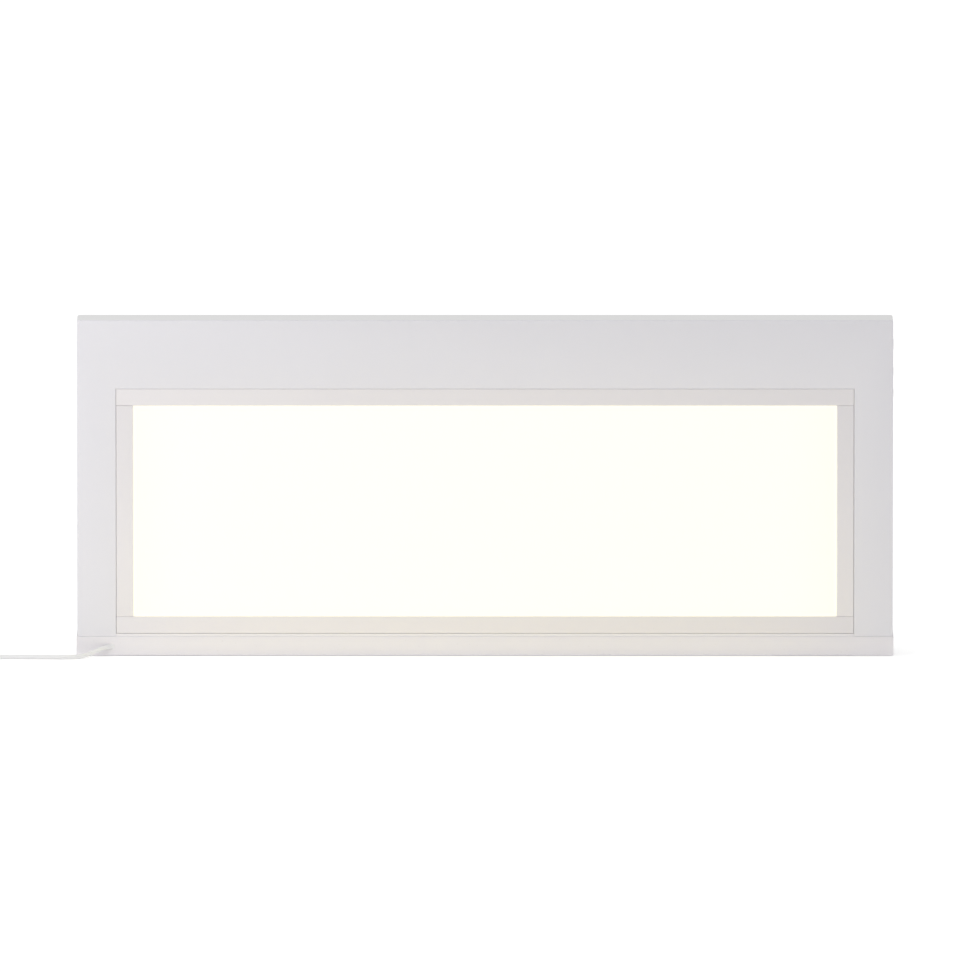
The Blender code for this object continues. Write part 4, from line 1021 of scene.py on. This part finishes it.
def make_screw(number):
    node = f"shell_screw_{number}"
    low, high, middle = box_and_middle(node)
    radius = (high.x - low.x) / 2
    length = high.y - low.y - SCREW_HEAD
    bm = bmesh.new()
    bmesh.ops.create_circle(bm, cap_ends=True, radius=SCREW_TOP, segments=SCREW_SIDES)
    bmesh.ops.translate(bm, vec=(0, 0, SCREW_HEAD), verts=bm.verts)
    rim = list(bm.edges)
    head = (SHOULDER, (radius, BRIM), (radius, 0.0))
    for reach, height in (*head, (SCREW_RADIUS, 0.0), (SCREW_RADIUS, -length)):
        made = bmesh.ops.extrude_edge_only(bm, edges=rim)
        rim = new_parts(made, BMEdge)
        for vert in new_parts(made, BMVert):
            flat_place = vert.co.to_2d().normalized() * reach
            vert.co = (*flat_place, height)
    bmesh.ops.contextual_create(bm, geom=rim)
    top = faces_facing(bm, 2, 1, lambda p: p.z > SHOULDER[1])
    cross = []
    for quarter in range(4):
        turn = Matrix.Rotation(quarter * math.pi / 2, 3, "Z")
        for x, y in ((CROSS_ARM, -CROSS_WIDTH), (CROSS_ARM, CROSS_WIDTH), (CROSS_WIDTH, CROSS_WIDTH)):
            cross.append(turn @ Vector((x, y, SCREW_HEAD)))
    opening(bm, top[0], cross, (0, 0, -CROSS_DEPTH), floor=True)
    turn = Matrix.Rotation(SCREW_TURN * number, 3, "Z")
    bmesh.ops.rotate(bm, cent=(0, 0, 0), matrix=turn, verts=bm.verts)
    face_towards(bm, (0, 1, 0), (middle.x, high.y - SCREW_HEAD, middle.z))
    finished(f"pan_screw_{number}", bm, (node,))


for number in range(1, SCREW_COUNT + 1):
    make_screw(number)

# %% [markdown]
# ## Tie
# The tie is a soft band round the bundle, with its end laid over the top. The ends of a rounded box are
# taken away, which leaves a loop, and the loop is given a thickness.

# %% Tie
TIE_ROOM = 0.0010               # between the bundle and the band, at each side
TIE_FLOOR = 0.0002
TIE_CORNER = 0.0026
TIE_THICKNESS = 0.0008
TIE_FLAP = (-0.62, 0.50)        # where the flap starts and ends, as shares of the half width
TIE_FLAP_RISE = 0.0001
TIE_FLAP_EDGE = 0.0003


def make_tie():
    low, high, middle = box_and_middle("coil_tie")
    half_y = COLUMNS * CORD_DIAMETER / 2 + TIE_ROOM
    top = 2 * TIE_LIFT - TIE_FLOOR
    bm = bmesh.new()
    add_box(bm, (low.x, middle.y - half_y, TIE_FLOOR), (high.x, middle.y + half_y, top))
    round_off(bm, edges_along(bm, 0, lambda p: True), TIE_CORNER, 6)
    ends = [f for f in bm.faces if abs(f.normal.x) > ALONG]
    bmesh.ops.delete(bm, geom=ends, context="FACES_ONLY")
    bmesh.ops.recalc_face_normals(bm, faces=bm.faces)
    bmesh.ops.solidify(bm, geom=list(bm.faces), thickness=TIE_THICKNESS)
    first, last = (middle.y + half_y * share for share in TIE_FLAP)
    flap_low = (low.x + TIE_FLAP_EDGE, first, top + TIE_FLAP_RISE)
    flap_high = (high.x - TIE_FLAP_EDGE, last, top + TIE_THICKNESS)
    flap = add_box(bm, flap_low, flap_high)
    rim = {e for v in flap for e in v.link_edges}
    round_off(bm, list(rim), TIE_FLAP_EDGE, 2)
    finished("lead_tie", bm, ("coil_tie",))


make_tie()

# %% [markdown]
# ## Plug
# The plug is a moulded grip with ribs at its sides, a strain relief whose rings let it bend, and a folded
# steel sheath with two square windows on top and two below. The grip is a rounded box, and every second one
# of its cuts is pinched in. The relief is turned like the feet. The sheath is an open box of sheet, so
# faces are deleted before it gets its thickness. The last lines make the grip, the relief and the sheath.

# %% Plug
GRIP_EDGE = 0.0014
GRIP_RIBS = 10
RIB_START = 0.0032
RIB_PITCH = 0.0011
RIB_DEPTH = 0.0005
RIB_SIDE = 0.005                # only what lies further out than this is pinched
RING_COUNT = 6
RING_SHARE = 0.62               # of a ring's pitch
RING_GROOVE = 0.00045
RING_SLOPE = 0.0001
SHEET = 0.0004
FOLD = 0.0005
HOLE = 0.0024
HOLE_BACK = 0.0055              # from the sheath's mouth
HOLE_OUT = 0.0026               # from the sheath's middle


def make_grip():
    low, high, middle = box_and_middle("plug_body")
    bm = bmesh.new()
    add_box(bm, low, high)
    round_off(bm, list(bm.edges), GRIP_EDGE, 4)
    ribs = [low.y + RIB_START + step * RIB_PITCH for step in range(GRIP_RIBS)]
    slice_at(bm, 1, *ribs)
    for rib in ribs[1::2]:
        for vert in bm.verts:
            if abs(vert.co.y - rib) < NEAR and abs(vert.co.x - middle.x) > RIB_SIDE:
                vert.co.x += math.copysign(RIB_DEPTH, middle.x - vert.co.x)
    return finished("plug_grip", bm, ("plug_body",), smooth=50)


def make_relief():
    low, high, middle = box_and_middle("plug_strain_relief")
    length = high.y - low.y
    wide = (high.x - low.x) / 2
    thin = CORD_RADIUS + GAP
    profile = [(0.0, length)]
    for ring in range(RING_COUNT):
        here = length * (1 - ring / RING_COUNT)
        after = length * (1 - (ring + RING_SHARE) / RING_COUNT)
        following = length * (1 - (ring + 1) / RING_COUNT)
        radius = wide + (thin - wide) * ring / (RING_COUNT - 1)
        profile += [(radius, here), (radius, after)]
        if ring < RING_COUNT - 1:
            groove = radius - RING_GROOVE
            profile += [(groove, after - RING_SLOPE), (groove, following + RING_SLOPE)]
    profile += [(thin, 0.0), (0.0, 0.0)]
    bm = bmesh.new()
    turn_profile(bm, profile, 32)
    face_towards(bm, (0, 1, 0), (middle.x, low.y, middle.z))
    return finished("plug_relief", bm, ("plug_strain_relief",))


def make_sheath():
    low, high, middle = box_and_middle("plug_shell")
    inset = Vector((SHEET, 0, SHEET))
    bm = bmesh.new()
    add_box(bm, low + inset, high - inset)
    round_off(bm, edges_along(bm, 1, lambda p: True), FOLD, 3)
    mouth = [f for f in bm.faces if f.normal.y > ALONG]
    bmesh.ops.delete(bm, geom=mouth, context="FACES_ONLY")
    row = high.y - HOLE_BACK
    for side in (-1, 1):
        column = middle.x + side * HOLE_OUT
        slice_at(bm, 0, column - HOLE / 2, column + HOLE / 2)
    slice_at(bm, 1, row - HOLE / 2, row + HOLE / 2)

    def in_hole(p):
        return abs(p.y - row) < HOLE / 2 and abs(abs(p.x - middle.x) - HOLE_OUT) < HOLE / 2

    gone = [f for f in bm.faces if abs(f.normal.z) > ALONG and in_hole(f.calc_center_median())]
    bmesh.ops.delete(bm, geom=gone, context="FACES_ONLY")
    bmesh.ops.recalc_face_normals(bm, faces=bm.faces)
    bmesh.ops.solidify(bm, geom=list(bm.faces), thickness=-SHEET)
    return finished("plug_sheath", bm, ("plug_shell",), smooth=30)


grip = make_grip()
relief = make_relief()
sheath = make_sheath()

# %% [markdown]
# ## Studio
# The box stands on a pale floor that runs on to the horizon. The floor glows a little, as a lit white
# sweep does, so it stays white round the box. One square soft light on the left in front gives the box
# its shading, and a pale sky fills in the rest.

# %% Floor, lights and sky
FLOOR_HALF = 14.0
FLOOR_GLOW = 0.25
SKY_TOP = 0.55                  # the sky has its full strength from this height up


def make_floor():
    bm = bmesh.new()
    bmesh.ops.create_grid(bm, x_segments=2, y_segments=2, size=FLOOR_HALF)
    mesh = bpy.data.meshes.new("floor")
    bm.to_mesh(mesh)
    bm.free()
    floor = bpy.data.objects.new("floor", mesh)
    finish = Finish("floor_white", Roughness=0.9, Specular_IOR_Level=0.0)
    tone = finish.noise(0.5)
    finish.feed("Base Color", finish.blend(tone, (0.86, 0.86, 0.86), (0.88, 0.88, 0.88)))
    finish.shader.inputs["Emission Color"].default_value = (1.0, 1.0, 1.0, 1.0)
    finish.shader.inputs["Emission Strength"].default_value = FLOOR_GLOW
    mesh.materials.append(finish.material)
    bpy.context.scene.collection.objects.link(floor)


def soft_light(name, place, size, power, spread, aim):
    light = bpy.data.lights.new(name, "AREA")
    light.shape = "RECTANGLE"
    light.size, light.size_y = size
    light.energy = power
    light.spread = math.radians(spread)
    lamp = bpy.data.objects.new(name, light)
    lamp.location = place
    lamp.visible_camera = False
    lamp.rotation_euler = (Vector(place) - Vector(aim)).to_track_quat("Z", "Y").to_euler()
    bpy.context.scene.collection.objects.link(lamp)


def make_sky(near, high):
    """A white sky with one strength near the horizon and another high up."""
    world = bpy.data.worlds.new("studio")
    world.use_nodes = True
    tree = world.node_tree
    place = tree.nodes.new("ShaderNodeTexCoord")
    parts = tree.nodes.new("ShaderNodeSeparateXYZ")
    fade = tree.nodes.new("ShaderNodeMapRange")
    fade.inputs["From Max"].default_value = SKY_TOP
    fade.inputs["To Min"].default_value = near
    fade.inputs["To Max"].default_value = high
    tree.links.new(place.outputs["Generated"], parts.inputs[0])
    tree.links.new(parts.outputs["Z"], fade.inputs["Value"])
    tree.links.new(fade.outputs[0], tree.nodes["Background"].inputs["Strength"])
    tree.nodes["Background"].inputs["Color"].default_value = (1.0, 1.0, 1.0, 1.0)
    bpy.context.scene.world = world


make_floor()
soft_light("key", (-0.70, -0.55, 0.47), (0.45, 0.45), 0.53, 110.0, aim=(-0.35, 0.0, 0.15))
make_sky(0.16, 1.02)
bpy.context.scene.view_settings.view_transform = "Standard"
